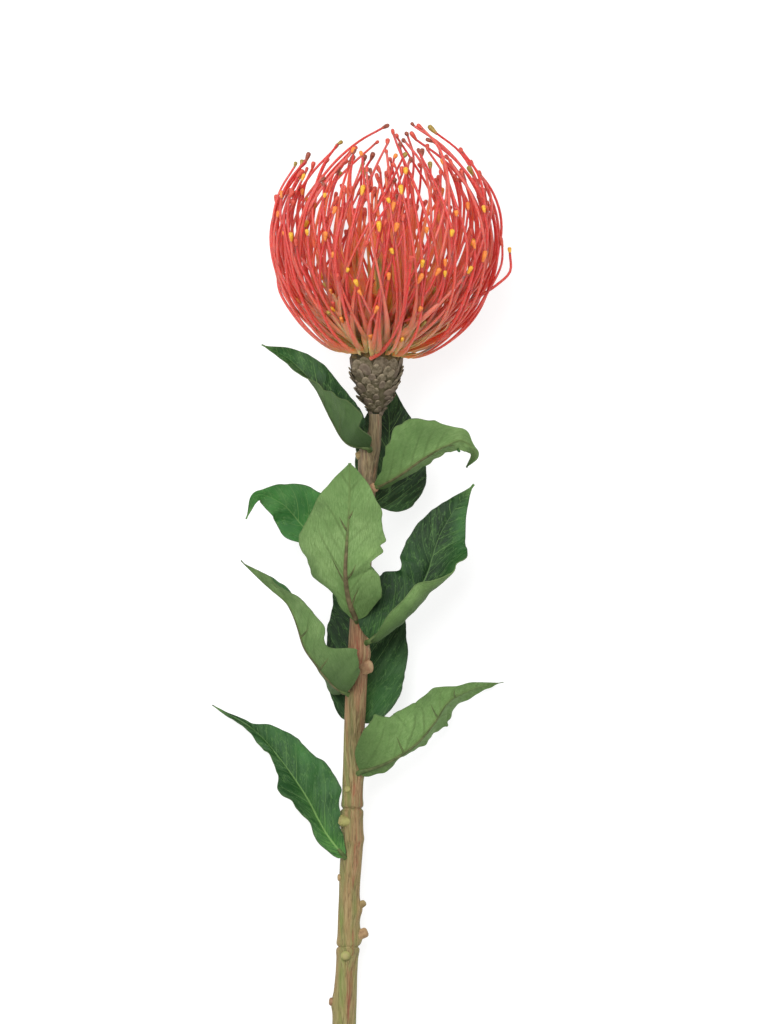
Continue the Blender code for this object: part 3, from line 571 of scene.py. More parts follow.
def head_point(radius, height, turn):
    """A point of the head from its distance to the axis, its height and its turn about the axis."""
    across = radius * math.cos(turn)
    x = HEAD_BASE[0] + across * math.cos(HEAD_LEAN) + height * math.sin(HEAD_LEAN)
    y = HEAD_BASE[1] + height * math.cos(HEAD_LEAN) - across * math.sin(HEAD_LEAN)
    return (x, y, HEAD_BASE[2] + radius * math.sin(turn))


def cage_path(stand, cage, end, count):
    """Radius and height of count points of a floret that stands on the dome and arches over the head.

    The floret follows an ellipse about the head's axis, as tall as the head and cage times as wide,
    from its foot on the dome up to the angle end, where 180 would be the very top.
    """
    foot_radius = (DOME_RADIUS + FOOT_GAP) * math.sin(math.radians(stand))
    foot_height = DOME_SEAT + (DOME_HEIGHT + FOOT_GAP) * math.cos(math.radians(stand))
    first = math.asin(foot_radius / (cage * HEAD_RADIUS))
    rise = (1 - math.cos(first)) / 2
    base = (foot_height - 2 * HEAD_RADIUS * rise) / (1 - rise)
    path = []
    for k in range(count):
        angle = first + (math.radians(end) - first) * k / (count - 1)
        height = base + (2 * HEAD_RADIUS - base) * (1 - math.cos(angle)) / 2
        path.append((cage * HEAD_RADIUS * math.sin(angle), height))
    return path


def leaf_widths(places, base, widest, taper):
    """How wide the blade is from its rounded base to its drawn-out tip, as a share of the widest."""
    swell = np.clip(places / widest, 0, 1)
    low = base + (1 - base) * np.sqrt(1 - (1 - swell) ** 2)
    fall = np.clip((places - widest) / (1 - widest), 0, 1)
    high = np.maximum(np.cos(fall * math.pi / 2), 0.0) ** taper
    return np.maximum(np.where(places < widest, low, high), 0.03)


def leaf_grid(leaf, stations, lanes):
    """Points of the blade's middle surface: lanes from the left edge over the midrib to the right."""
    places = np.linspace(0, 1, stations)
    rib = curve_through(leaf["rib"], places)
    ahead = np.gradient(rib, axis=0)
    ahead /= np.linalg.norm(ahead, axis=1)[:, None]
    across = np.cross(ahead, (0.0, 0.0, 1.0))
    across /= np.linalg.norm(across, axis=1)[:, None]
    roll = np.radians(smooth_steps(leaf["roll"], places))[:, None]
    upper = np.cos(roll) * np.cross(across, ahead) + np.sin(roll) * across
    side = np.cross(ahead, upper)
    widths = leaf["width"] * leaf_widths(
        places, leaf.get("base", 0.22), leaf.get("widest", 0.36), leaf.get("taper", 1.25)
    )
    halves = []
    for sign, fold, curl, shape in zip((-1, 1), leaf["fold"], leaf["curl"], leaf["shape"]):
        rise = np.radians(smooth_steps(fold, places))
        turn = np.radians(smooth_steps(curl, places))
        lane = widths * smooth_steps(shape, places) / lanes
        half = [rib]
        for k in range(lanes):
            angle = rise + turn * (k + 0.5) / lanes
            step = sign * np.cos(angle)[:, None] * side + np.sin(angle)[:, None] * upper
            half.append(half[-1] + lane[:, None] * step)
        halves.append(half)
    return np.array(halves[0][:0:-1] + halves[1])


def put_in_scene(name, data, spot=(0.0, 0.0, 0.0), aim=None):
    """Adds an object at a spot; a lamp or camera looks along aim."""
    made = bpy.data.objects.new(name, data)
    bpy.context.scene.collection.objects.link(made)
    made.location = spot
    if aim is not None:
        made.rotation_euler = Vector(aim).to_track_quat("-Z", "Y").to_euler()
    return made


class Piece:
    """Nets of points with their places and finishes, gathered until the piece's mesh is made."""

    def __init__(self):
        self.points = []
        self.places = []
        self.faces = []
        self.finishes = []
        self.count = 0

    def net(self, points, places, finish=0, closed=False):
        """Adds faces over rows of points; closed joins the last column of each row to its first."""
        rows, columns = points.shape[:2]
        index = self.count + np.arange(rows * columns).reshape(rows, columns)
        self.count += rows * columns
        self.points.append(points.reshape(-1, 3))
        self.places.append(np.asarray(places, float).reshape(rows * columns, -1))
        self.join(index, finish, closed)
        return index

    def join(self, index, finish=0, closed=False):
        """Adds faces between rows of points that the piece already has."""
        after = np.roll(index, -1, axis=1)
        if not closed:
            index, after = index[:, :-1], after[:, :-1]
        quads = np.stack([index[:-1], after[:-1], after[1:], index[1:]], axis=-1).reshape(-1, 4)
        self.faces += quads.tolist()
        self.finishes += [finish] * len(quads)

    def cap(self, loop, finish=0):
        """Adds one face over a loop of points."""
        self.faces.append([int(k) for k in loop])
        self.finishes.append(finish)

    def make(self, name, finishes, maps=("along",), sharp=None):
        """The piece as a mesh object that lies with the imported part."""
        points = lay_down(np.concatenate(self.points))
        points[:, 2] = np.maximum(points[:, 2], CLEARANCE * MM)
        mesh = bpy.data.meshes.new(name)
        mesh.from_pydata(points.tolist(), [], self.faces)
        for finish in finishes:
            mesh.materials.append(finish)
        mesh.polygons.foreach_set("material_index", self.finishes)
        corners = np.empty(len(mesh.loops), int)
        mesh.loops.foreach_get("vertex_index", corners)
        places = np.concatenate(self.places)
        for k, called in enumerate(maps):
            layer = mesh.uv_layers.new(name=called)
            layer.uv.foreach_set("vector", places[corners, 2 * k : 2 * k + 2].astype(np.float32).ravel())
        mesh.shade_smooth()
        if sharp:
            mesh.set_sharp_from_angle(angle=math.radians(sharp))
        mesh.validate()
        made = put_in_scene(name, mesh)
        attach(made, "root")
        return made


def unit(vectors):
    """The vectors, each one long."""
    return vectors / np.maximum(np.linalg.norm(vectors, axis=-1, keepdims=True), 1e-9)


def soft(low, high, values):
    """0 below low, 1 above high and a soft step between."""
    share = np.clip((np.asarray(values, float) - low) / (high - low), 0, 1)
    return share * share * (3 - 2 * share)


def bell(values, middle, width):
    """1 at the middle, falling to nothing a few widths away."""
    return np.exp(-(((values - middle) / width) ** 2))


def around(turns, angle):
    """Turns measured from an angle in degrees, from half a turn back to half a turn on."""
    return np.remainder(turns - math.radians(angle) + math.pi, 2 * math.pi) - math.pi


def each(value, count):
    """A value or a direction, once for each of count stations."""
    return np.repeat([np.asarray(value, float)], count, axis=0)


def full_turn(count):
    """Even turns all the way round, in radians."""
    return 2 * np.pi * np.arange(count) / count


def level_rings(x, y, z, reach):
    """Rings about the line through x, y and z, one at each y, whose points are reach away from it."""
    turns = full_turn(reach.shape[1])
    levels = np.repeat(y[:, None], reach.shape[1], axis=1)
    return np.stack([x + reach * np.cos(turns), levels, z + reach * np.sin(turns)], axis=-1)


def even_places(count, tone):
    """Places of count rings: even steps along, and one tone."""
    return np.stack([np.linspace(0, 1, count), each(tone, count)], axis=1)


def wander(chance, places, spacing, size):
    """A slow random wave read at places, with a new value every spacing."""
    places = np.asarray(places, float)
    low, high = places.min() - spacing, places.max() + spacing
    knots = np.arange(low, high + spacing, spacing)
    values = np.array([chance.uniform(-size, size) for _ in knots])
    spot = (places - low) / spacing
    k = np.clip(spot.astype(int), 0, len(knots) - 2)
    part = spot - k
    part = part * part * (3 - 2 * part)
    return values[k] * (1 - part) + values[k + 1] * part


def rings_about(route, wide, deep, out, sides, cup=0.0, back=None):
    """Rings of points about a route: wide across it, deep towards out, cupped away from out.

    back is how deep they go on the far side of the route, where that differs.
    """
    ahead = unit(np.gradient(route, axis=0))
    out = unit(out - (out * ahead).sum(axis=1)[:, None] * ahead)
    side = np.cross(ahead, out)
    turns = full_turn(sides)
    across = np.cos(turns)[None, :, None] * side[:, None] * wide[:, None, None]
    heights = np.sin(turns)[None, :] * deep[:, None]
    if back is not None:
        heights = np.maximum(heights, -back)
    depth = heights[..., None] * out[:, None]
    bend = (np.cos(turns) ** 2)[None, :, None] * out[:, None] * (cup * (wide - deep))[:, None, None]
    return route[:, None] + across + depth - bend


def tube(piece, rings, places, finish=0, outer=None):
    """Closes rings into a capped tube.

    places holds one (along, tone) for each ring, or for each of its points; outer adds itself, after
    how near the edge of a flat strap each point is, from 0 in the middle to 1 at its edges.
    """
    sides = rings.shape[1]
    spread = np.asarray(places, float)
    if spread.ndim == 2:
        spread = np.repeat(spread[:, None], sides, axis=1)
    if outer is not None:
        rim = np.broadcast_to(np.abs(np.cos(full_turn(sides))), rings.shape[:2])
        spread = np.concatenate([spread, rim[..., None], np.full_like(rim, outer)[..., None]], axis=2)
    index = piece.net(rings, spread, finish, closed=True)
    piece.cap(index[0][::-1], finish)
    piece.cap(index[-1], finish)


def blade_grid(name):
    """The blade's middle surface with its ripples and creases, which way it faces, and its maps."""
    looks = LEAF_LOOKS[name]
    chance = random.Random(looks["seed"])
    grid = leaf_grid(LEAVES[name], LEAF_STATIONS, LEAF_LANES).transpose(1, 0, 2)
    steps = np.linalg.norm(np.diff(grid[:, LEAF_LANES], axis=0), axis=1)
    along = np.concatenate([[0.0], np.cumsum(steps)])
    share = np.linspace(-1, 1, 2 * LEAF_LANES + 1)
    waver_edges(grid, along, looks, chance)
    normal = unit(np.cross(np.gradient(grid, axis=1), np.gradient(grid, axis=0)))
    across = distance_across(grid)
    wave, order, strength = blade_relief(along, across, share, looks, chance)
    for line in looks.get("creases", ()) + stray_creases(chance):
        wave += crease(along, across, *line)
    grid = grid + normal * wave[:, :, None]
    return grid, normal, blade_maps(along, across, share, order, strength, looks)


def waver_edges(grid, along, looks, chance):
    """Lets the width of each half of a blade waver, and widens it where its looks say."""
    rib = grid[:, LEAF_LANES]
    for half, columns in ((-1, range(LEAF_LANES)), (1, range(LEAF_LANES + 1, 2 * LEAF_LANES + 1))):
        swell = sum((wander(chance, along, spacing, size) for spacing, size in EDGE_WAVERS), 1.0)
        for place, side, reach, wider in looks.get("edges", ()):
            if side == half:
                swell += wider * bell(along / along[-1], place, reach)
        for column in columns:
            grid[:, column] = rib + (grid[:, column] - rib) * swell[:, None]


def distance_across(grid):
    """Millimetres from the midrib over the cloth, below 0 on the left half."""
    across = np.zeros(grid.shape[:2])
    lanes = np.linalg.norm(np.diff(grid, axis=1), axis=2)
    across[:, LEAF_LANES + 1 :] = np.cumsum(lanes[:, LEAF_LANES:], axis=1)
    across[:, :LEAF_LANES] = -np.cumsum(lanes[:, LEAF_LANES - 1 :: -1], axis=1)[:, ::-1]
    return across


def blade_relief(along, across, share, looks, chance):
    """How far each point of a blade is lifted, and the order and strength of the veins there.

    Ripples lift the edges, slow swings lift each half, and cushions stand between the veins, whose
    order counts one for each vein from the stem to the tip.
    """
    edge = np.abs(share)
    tip = np.sin(np.pi * np.clip(along / along[-1], 0, 1)) ** 0.5
    wave, order, strength = (np.zeros(across.shape) for _ in range(3))
    for half in (-1, 1):
        mine = (share < 0 if half < 0 else share >= 0)[None, :]
        for length, size in zip(looks["waves"], RIPPLE_SIZES):
            phase = chance.uniform(0, 2 * math.pi)
            ripple = np.sin(2 * math.pi * along / length + phase) * tip * looks["ripple"] * size
            wave += ripple[:, None] * (edge**2)[None, :] * mine
        for length in SWING_LENGTHS:
            turn = chance.uniform(0.5, 1.1)
            run = along[:, None] * math.cos(turn) - np.abs(across) * math.sin(turn)
            swing = np.sin(2 * math.pi * run / length + chance.uniform(0, 6.3))
            size = LEAF_RELIEF * length / SWING_LENGTHS[0]
            wave += size * swing * (edge * (1.6 - edge))[None, :] * tip[:, None] * mine
        bent = along + wander(chance, along, 13.0, 2.2)
        slant = LEAF_SLANT * np.abs(across) ** 1.1
        mine_order = (bent[:, None] - slant) / LEAF_VEIN_SPACING + (0.5 if half > 0 else 0.0) + 5.0
        order += mine_order * mine
        levels = np.array([chance.uniform(0.15, 1.0) for _ in range(VEINS_AT_MOST)])
        strength += levels[np.clip(mine_order.astype(int), 0, VEINS_AT_MOST - 1)] * mine
    cushion = np.abs(np.cos(np.pi * order)) ** 0.75
    wave += (LEAF_CUSHION * cushion * (edge * (1.25 - edge) * 2.4)[None, :] * tip[:, None]
             * (0.5 + strength / 2))
    wave -= MIDRIB_GROOVE[0] * bell(across, 0.0, MIDRIB_GROOVE[1]) * tip[:, None]
    return wave, order, strength


def blade_maps(along, across, share, order, strength, looks):
    """Four maps of a blade: millimetres, shares of length and width, painted shade and freshness, and
    veins.
    """
    full = np.ones(across.shape)
    painted_shade, fresh = full * looks["painted_shade"], full * looks["fresh"]
    # patches add painted shade, or painted light where what they add is below 0
    for place, side, long, wide, darker, fresher in looks.get("patches", ()):
        here = bell(along / along[-1], place, long)[:, None] * bell(share, side, wide)[None, :]
        painted_shade += darker * here
        fresh += fresher * here
    return np.stack([
        full * along[:, None] / MAP_SPAN, across / MAP_SPAN + 0.5,
        full * along[:, None] / along[-1], full * (share[None, :] / 2 + 0.5),
        np.clip(painted_shade, 0, 1), np.clip(fresh, 0, 1),
        order / ORDER_SPAN, strength,
    ], axis=-1)


def stray_creases(chance):
    """Short shallow creases all over a blade, as cloth that has been bent and pressed has."""
    found = []
    for _ in range(STRAY_CREASES):
        rise = chance.choice((-1, 1)) * chance.uniform(*STRAY_CREASE["rise"])
        start, half = chance.uniform(*STRAY_CREASE["start"]), chance.choice((-1, 1))
        reach, advance, width = (
            chance.uniform(*STRAY_CREASE[part]) for part in ("reach", "advance", "width")
        )
        found.append((start, half, reach, advance, rise, width))
    return tuple(found)


def crease(along, across, start, half, reach, advance, rise, width):
    """How far a crease from the midrib towards the edge lifts each point of the blade."""
    edge = across[:, 0] if half < 0 else across[:, -1]
    first = np.array([start * along[-1], 0.0])
    last_along = (start + advance) * along[-1]
    run = np.array([last_along, reach * float(np.interp(last_along, along, edge))]) - first
    length = float(np.linalg.norm(run))
    ahead = run / length
    away_along = along[:, None] - first[0]
    part = (away_along * ahead[0] + across * ahead[1]) / length
    aside = away_along * ahead[1] - across * ahead[0]
    ends = soft(0.0, 0.3, part) * (1 - soft(0.85, 1.1, part))
    return rise * np.exp(-np.abs(aside) / width) * ends


def on_blade(grid, along, side):
    """Points of the blade at shares along the midrib and across the halves, -1 to 1."""
    rows, columns = grid.shape[:2]
    row = np.clip(along, 0, 1) * (rows - 1)
    column = (np.clip(side, -1, 1) / 2 + 0.5) * (columns - 1)
    r = np.minimum(row.astype(int), rows - 2)
    c = np.minimum(column.astype(int), columns - 2)
    a = (row - r)[:, None]
    b = (column - c)[:, None]
    low = grid[r, c] * (1 - b) + grid[r, c + 1] * b
    high = grid[r + 1, c] * (1 - b) + grid[r + 1, c + 1] * b
    return low * (1 - a) + high * a


def raised_vein(piece, grid, normal, along, side, radii, places, brown, sink=BRANCH_SINK):
    """A vein that stands out of the under side along a line on the blade."""
    under = -unit(on_blade(normal, along, side))
    route = on_blade(grid, along, side) + under * (LEAF_CLOTH / 2 - sink)
    rings = rings_about(route, radii, radii * 0.8, under, VEIN_SIDES, back=0.1)
    reach = np.linspace(0, 1, len(along))
    full = each(brown, len(along))
    # the blade's painted shade and freshness where the vein runs
    tone = on_blade(places[..., 4:], along, side)
    tube(piece, rings, np.concatenate([np.stack([reach, full, reach, full], axis=1), tone], axis=1), 2)


def add_cloth(piece, grid, normal, places):
    """The upper and under side of a blade and the cut edge between them."""
    top = piece.net(grid + normal * LEAF_CLOTH / 2, places, 0)
    bottom = piece.net(grid - normal * LEAF_CLOTH / 2, places, 1)
    for index in range(len(piece.faces) // 2, len(piece.faces)):
        piece.faces[index].reverse()
    for line in (0, -1):
        piece.join(np.stack([top[:, line], bottom[:, line]]), 1)
        piece.join(np.stack([top[line], bottom[line]]), 1)


def add_veins(piece, grid, normal, places, looks):
    """The moulded midrib and the raised branch veins of the under side."""
    thickness, brown, rib_end = looks.get("rib", PLAIN_RIB)
    places_on_rib = np.linspace(0.0, rib_end, RIB_STATIONS)
    thick = thickness * (1 - places_on_rib / rib_end) ** 0.6 + 0.1
    middle = np.zeros(RIB_STATIONS)
    raised_vein(piece, grid, normal, places_on_rib, middle, thick, places, brown, VEIN_SINK)
    for start, side, reach, advance in looks.get("veins", ()):
        part = np.linspace(0, 1, BRANCH_STATIONS)
        along = start + advance * part**1.15
        radii = BRANCH_RADII[1] * (1 - part) ** 0.7 + BRANCH_RADII[0]
        raised_vein(piece, grid, normal, along, side * reach * part, radii, places, brown * 0.45)


def add_stalk(piece, grid):
    """The short stalk from inside the stem to the foot of the midrib."""
    foot = grid[0, LEAF_LANES]
    after = grid[5, LEAF_LANES]
    line = np.array(STEM_LINE)[:, :3]
    stem_x = np.interp(-foot[1] + 3, -line[:, 1], line[:, 0])
    root = np.array([stem_x, foot[1] - 3.0, 0.0]) * 0.55 + foot * 0.45
    stalk = curve_through([root, foot, after], np.linspace(0, 1, STALK_RINGS))
    wide, deep = np.linspace(*STALK_WIDTHS, STALK_RINGS), np.linspace(*STALK_DEPTHS, STALK_RINGS)
    rings = rings_about(stalk, wide, deep, each((0.0, 0.0, 1.0), STALK_RINGS), STALK_SIDES)
    tube(piece, rings, np.stack([np.linspace(0, 0.2, STALK_RINGS)] * 8, axis=1), 2)


def make_leaf(name, finishes):
    """A cloth leaf: upper and under side, cut edge, moulded midrib, branch veins and stalk."""
    grid, normal, places = blade_grid(name)
    piece = Piece()
    add_cloth(piece, grid, normal, places)
    add_veins(piece, grid, normal, places, LEAF_LOOKS[name])
    add_stalk(piece, grid)
    # the tone map carries the painted shade and the freshness
    leaf = piece.make(name + "_blade", finishes, ("blade", "share", "tone", "vein"), LEAF_SHARP)
    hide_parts(name)


def outward(points):
    """Directions straight out from the head's axis at points."""
    lean = np.array([math.sin(HEAD_LEAN), math.cos(HEAD_LEAN), 0.0])
    away = points - np.array(HEAD_BASE)
    return unit(away - (away @ lean)[:, None] * lean)


def draw_floret(piece, spots, chance, knob, strap, ends, tilt=None, waver=0.0, outer=1.0, foot=0.0):
    """One floret along spots: a cupped strap that narrows into a round style with a knob.

    knob is the finish of the knob, strap the strap's half width, ends the share of the length where it
    has become a style, tilt how far the knob leans aside (random if none is given), waver how far the
    style wanders, outer 1 for florets on the outside of the head, down to 0 for those in its middle, and
    foot the foot's place in the run of colours from cream, at 0, to coral.
    """
    share = np.linspace(0, 1, FLORET_STATIONS)
    route = curve_through(spots, share)
    if waver:
        free = soft(0.25, 0.9, share)[:, None]
        route = route + free * np.stack([wander(chance, share, 0.3, waver) for _ in range(3)], axis=1)
    out = outward(route) + 0.25 * unit(np.array([[chance.uniform(-1, 1), 0, chance.uniform(-1, 1)]]))
    style = STYLE_LOOK_RADIUS * chance.uniform(*STYLE_SPREAD)
    narrow = 1 - soft(ends * 0.35, ends, share)
    narrow_foot = STRAP_FOOT + (1 - STRAP_FOOT) * soft(0.0, 0.08, share)
    taper = 1 - STYLE_TAPER * soft(0.7, 1.0, share)
    wide = (style + (strap * narrow_foot - style) * narrow) * taper
    deep = (style + (STRAP_DEPTH - style) * narrow) * taper
    rings = rings_about(route, wide, deep, out, STRAP_SIDES, STRAP_CUP)
    colour = np.interp(share, (0, ends, 1), (foot, 0.55, 1))
    tone = chance.random()
    tube(piece, rings, np.stack([colour, each(tone, len(share))], axis=1), 0, outer)
    ahead = unit(route[-1] - route[-3])
    lean = unit(np.array([chance.uniform(-1, 1), chance.uniform(-0.4, 0.8), chance.uniform(-1, 1)]))
    ahead = unit(ahead + (chance.uniform(*KNOB_LEAN) if tilt is None else tilt) * lean)
    size = chance.uniform(*KNOB_SIZES)
    reach = np.array(KNOB_REACH) * size * chance.uniform(*KNOB_STRETCH)
    swell = np.array(KNOB_SWELL) * size
    line = route[-1] + reach[:, None] * ahead
    side = each(unit(np.cross(ahead, (0.3, 0.2, 0.9))), len(reach))
    knob_rings = rings_about(line, swell, swell * 0.9, side, KNOB_SIDES)
    tube(piece, knob_rings, even_places(len(reach), tone), knob, outer)


def arching_spots(ring, turn, end, sway):
    """Points of a floret that stands on the dome and arches over the head."""
    path = cage_path(ring["stand"], ring["cage"], end, STYLE_POINTS)
    share = np.linspace(0, 1, STYLE_POINTS)
    droop = ring.get("droop", 0.0) * soft(0.0, 0.12, share) * (1 - soft(0.25, 0.75, share))
    spots = [
        head_point(radius, height - sag, turn + sway * part * end / 140)
        for part, sag, (radius, height) in zip(share, droop, path)
    ]
    return np.array(spots)


def spots_to_tip(tip, stand, cage, sway):
    """Points of a floret that ends at a tip, arching as the others do on the way."""
    dx, dy, dz = np.array(tip) - np.array(HEAD_BASE)
    across = dx * math.cos(HEAD_LEAN) - dy * math.sin(HEAD_LEAN)
    height = dx * math.sin(HEAD_LEAN) + dy * math.cos(HEAD_LEAN)
    turn = math.atan2(dz, across)
    rise = min(max(1 - height / HEAD_RADIUS, -0.93), 0.99)
    end = math.degrees(math.acos(rise))
    path = cage_path(stand, cage, end, STYLE_POINTS)
    share = np.linspace(0, 1, STYLE_POINTS)
    spots = np.array([
        head_point(radius, up, turn - sway * (1 - part)) for (radius, up), part in zip(path, share)
    ])
    return spots + soft(0.35, 1.0, share)[:, None] * (np.array(tip) - spots[-1])


def outer_share(cage):
    """1 for a cage on the outside of the head, down to 0 for one well inside it."""
    return float(soft(0.6, 1.0, cage))


def knob_finish(chance, height):
    """Knobs are red and orange, with a few yellow, and darker towards the crown."""
    draw = chance.random()
    if height > CROWN_FROM:
        return KNOBS["red" if draw < 0.5 else "brown" if draw < 0.85 else "olive"]
    if height > SHOULDER_FROM:
        return KNOBS["red" if draw < 0.75 else "brown" if draw < 0.85 else "orange"]
    return KNOBS["red" if draw < 0.65 else "orange" if draw < 0.92 else "yellow"]


def packed_florets(finishes):
    """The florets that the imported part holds, on the same routes, with straps, styles and knobs."""
    chance = random.Random(PACKED_SEED)
    looks = random.Random(PACKED_LOOKS_SEED)
    number = 0
    for ring in FLORET_RINGS:
        step = 2 * math.pi / ring["count"]
        for k in range(ring["count"]):
            number += 1
            turn = -math.pi / 2 + (k + 0.5) * step + math.radians(chance.uniform(-2.5, 2.5))
            end = chance.uniform(104, 140)
            sway = math.radians(ring["sway"] + chance.uniform(-3, 3))
            spots = arching_spots(ring, turn, end, sway)
            piece = Piece()
            draw_floret(piece, spots, looks, knob_finish(looks, spots[-1][1]),
                        strap=looks.uniform(1.4, 2.0), ends=looks.uniform(0.34, 0.5),
                        waver=1.2, outer=outer_share(ring["cage"]))
            finish_floret(piece, f"floret_{number:02d}", finishes)
    for name, route in STRAY_FLORETS.items():
        piece = Piece()
        spots = curve_through(route, np.linspace(0, 1, STYLE_POINTS))
        stray = name == "floret_stray"
        draw_floret(piece, spots, looks, KNOBS["yellow" if stray else "red"],
                    strap=1.0 if stray else 1.25, ends=0.3, tilt=0.0, foot=0.0 if stray else 0.4)
        finish_floret(piece, name, finishes)


def finish_floret(piece, node, finishes):
    """Makes the piece of one packed floret."""
    floret = piece.make(node.replace("floret", "strap_and_style"), finishes, ("along", "rim"), FLORET_SHARP)
    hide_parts(node)


def fill_florets(finishes, chance):
    """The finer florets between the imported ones, a piece for each ring of them."""
    for number, ring in enumerate(FILL_RINGS, 1):
        piece = Piece()
        step = 2 * math.pi / ring["count"]
        first = chance.uniform(0, step)
        for k in range(ring["count"]):
            turn = first + k * step + math.radians(chance.uniform(-7, 7))
            from_front = abs(math.remainder(turn - math.pi / 2, 2 * math.pi))
            if from_front < math.radians(ring.get("gap", 0.0)):
                continue
            sway = math.radians(ring["sway"] * chance.uniform(-0.4, 1.5))
            spots = arching_spots(ring, turn, chance.uniform(*ring["ends"]), sway)
            draw_floret(piece, spots, chance, knob_finish(chance, spots[-1][1]),
                        strap=chance.uniform(*ring.get("wide", STRAP_WIDTHS)),
                        ends=chance.uniform(*ring["strap"]), waver=2.8, outer=outer_share(ring["cage"]))
        finish_fill(piece, f"inner_florets_{number}", finishes)


def crown_florets(finishes, chance):
    """The florets whose tips stand out at the crown."""
    piece = Piece()
    for x, y, z, knob in CROWN_TIPS:
        sway = math.radians(chance.choice((-1, 1)) * chance.uniform(*CROWN_TWIST))
        stand, cage = chance.uniform(*CROWN_STANDS), chance.uniform(*CROWN_CAGES)
        spots = spots_to_tip((x, y, z), stand, cage, sway)
        draw_floret(piece, spots, chance, KNOBS[knob], strap=chance.uniform(*SHORT_STRAP_WIDTHS),
                    ends=chance.uniform(0.4, 0.6), waver=0.8)
    finish_fill(piece, "crown_florets", finishes)


def face_florets(finishes, chance):
    """The short florets whose knobs face the viewer."""
    piece = Piece()
    for x, y, knob in FACE_TIPS:
        up = y - HEAD_BASE[1]
        away = math.hypot(x - HEAD_BASE[0] - 0.08 * up, up - HEAD_RADIUS)
        depth = math.sqrt(max(0.0, 1 - (away / HEAD_RADIUS / 1.02) ** 2)) * HEAD_RADIUS
        sway = math.radians(chance.uniform(*FACE_TWIST))
        stand, cage = chance.uniform(*FACE_STANDS), chance.uniform(*FACE_CAGES)
        spots = spots_to_tip((x, y, depth), stand, cage, sway)
        draw_floret(piece, spots, chance, KNOBS[knob], strap=chance.uniform(*SHORT_STRAP_WIDTHS),
                    ends=chance.uniform(0.5, 0.75), tilt=0.25)
    finish_fill(piece, "face_florets", finishes)


def front_stubs(finishes, chance):
    """The short stubs at the foot of the head's front."""
    piece = Piece()
    for tip, foot, knob in FRONT_STUBS:
        middle = (np.array(tip) + np.array(foot)) / 2 + np.array([0.0, -0.8, 1.5])
        spots = np.array([foot, middle, tip])
        draw_floret(piece, spots, chance, KNOBS[knob], strap=1.7, ends=2.5, tilt=0.1)
    finish_fill(piece, "front_stubs", finishes)


def finish_fill(piece, name, finishes):
    """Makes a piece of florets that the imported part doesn't hold."""
    fill = piece.make(name, finishes, ("along", "rim"), FLORET_SHARP)


def make_dome(finish):
    """The dome under the florets, with the bumps of their sockets."""
    piece = Piece()
    turns = full_turn(DOME_SIDES)
    rings = [[head_point(radius, height, turn) for turn in turns] for radius, height in DOME_COLLAR]
    for angle in np.radians(np.linspace(97, 1.5, DOME_RINGS)):
        stagger = 1.7 * math.sin(angle * SOCKETS_UP / 2)
        bumps = SOCKET_HEIGHT * math.sin(angle * SOCKETS_UP) * np.sin(turns * SOCKETS_ROUND + stagger)
        radius = (DOME_RADIUS - DOME_INSET) * math.sin(angle) + bumps * math.sin(angle)
        level = max(-0.4, (DOME_HEIGHT - DOME_INSET) * math.cos(angle))
        height = DOME_SEAT + level + bumps * math.cos(angle)
        rings.append([head_point(*spot) for spot in zip(radius, height, turns)])
    tube(piece, np.array(rings), even_places(len(rings), 0.0))
    dome = piece.make("receptacle_dome", (finish,))
    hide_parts("receptacle_with_inner_florets")


def stem_line(y):
    """Middle and radius of the stem at places along it."""
    line = np.array(STEM_LINE)[::-1]
    share = np.linspace(0, 1, 400)
    fine = curve_through(line, share)
    return [np.interp(y, fine[:, 1], fine[:, k]) for k in (0, 2, 3)]


def make_stem(finish, nub_finish):
    """The jointed stem, with lengthwise fibres, rounded collars at its joints, nubs and scars."""
    chance = random.Random(STEM_SEED)
    y = np.arange(STEM_LINE[0][1], STEM_LINE[-1][1] - 0.01, -STEM_STEP)
    extra = [joint + step for joint in JOINTS_ALONG_STEM for step in JOINT_RINGS]
    y = np.sort(np.concatenate([y, JOINTS_ALONG_STEM, extra, [STEM_LINE[-1][1]]]))[::-1]
    x, z, radius = stem_line(y)
    turns = full_turn(STEM_SIDES)
    reach = np.repeat(radius[:, None], STEM_SIDES, axis=1)
    for k in range(STEM_SIDES):
        reach[:, k] += sum(wander(chance, y, spacing, size) for spacing, size in FIBRES)
    reach += wander(chance, y, *STEM_WAVE)[:, None]
    for joint in JOINTS_ALONG_STEM:
        away = np.abs(y - joint)
        collar = COLLAR[0] * bell(away, *COLLAR[1:])
        reach += (collar - GROOVE[0] * bell(away, 0.0, GROOVE[1]))[:, None]
    place, height, width = STEM_RING
    reach += (height * bell(y, place, width))[:, None]
    for place, side, height, width in STEM_STUBS:
        here = bell(around(turns, side), 0.0, STUB_TURN)
        reach += 0.5 * height * bell(y, place, width)[:, None] * here
    piece = Piece()
    tint = np.zeros(reach.shape)
    for place, side, long, wide, amount in STEM_TINTS:
        tint += amount * bell(y, place, long)[:, None] * bell(around(turns, side), 0.0, wide)
    along = np.repeat(((y - y[-1]) / (y[0] - y[-1]))[:, None], STEM_SIDES, axis=1)
    places = np.stack([along, np.clip(tint / 2 + 0.5, 0, 1)], axis=-1)
    tube(piece, level_rings(x[:, None], y, z[:, None], reach), places)
    for place, side, length, width, tilt, blush in STEM_NUBS:
        add_nub(piece, place, math.radians(side), length, width, math.radians(tilt), blush)
    stem = piece.make("stem_bark_and_nubs", (finish, nub_finish), sharp=BARK_SHARP)
    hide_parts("stem")


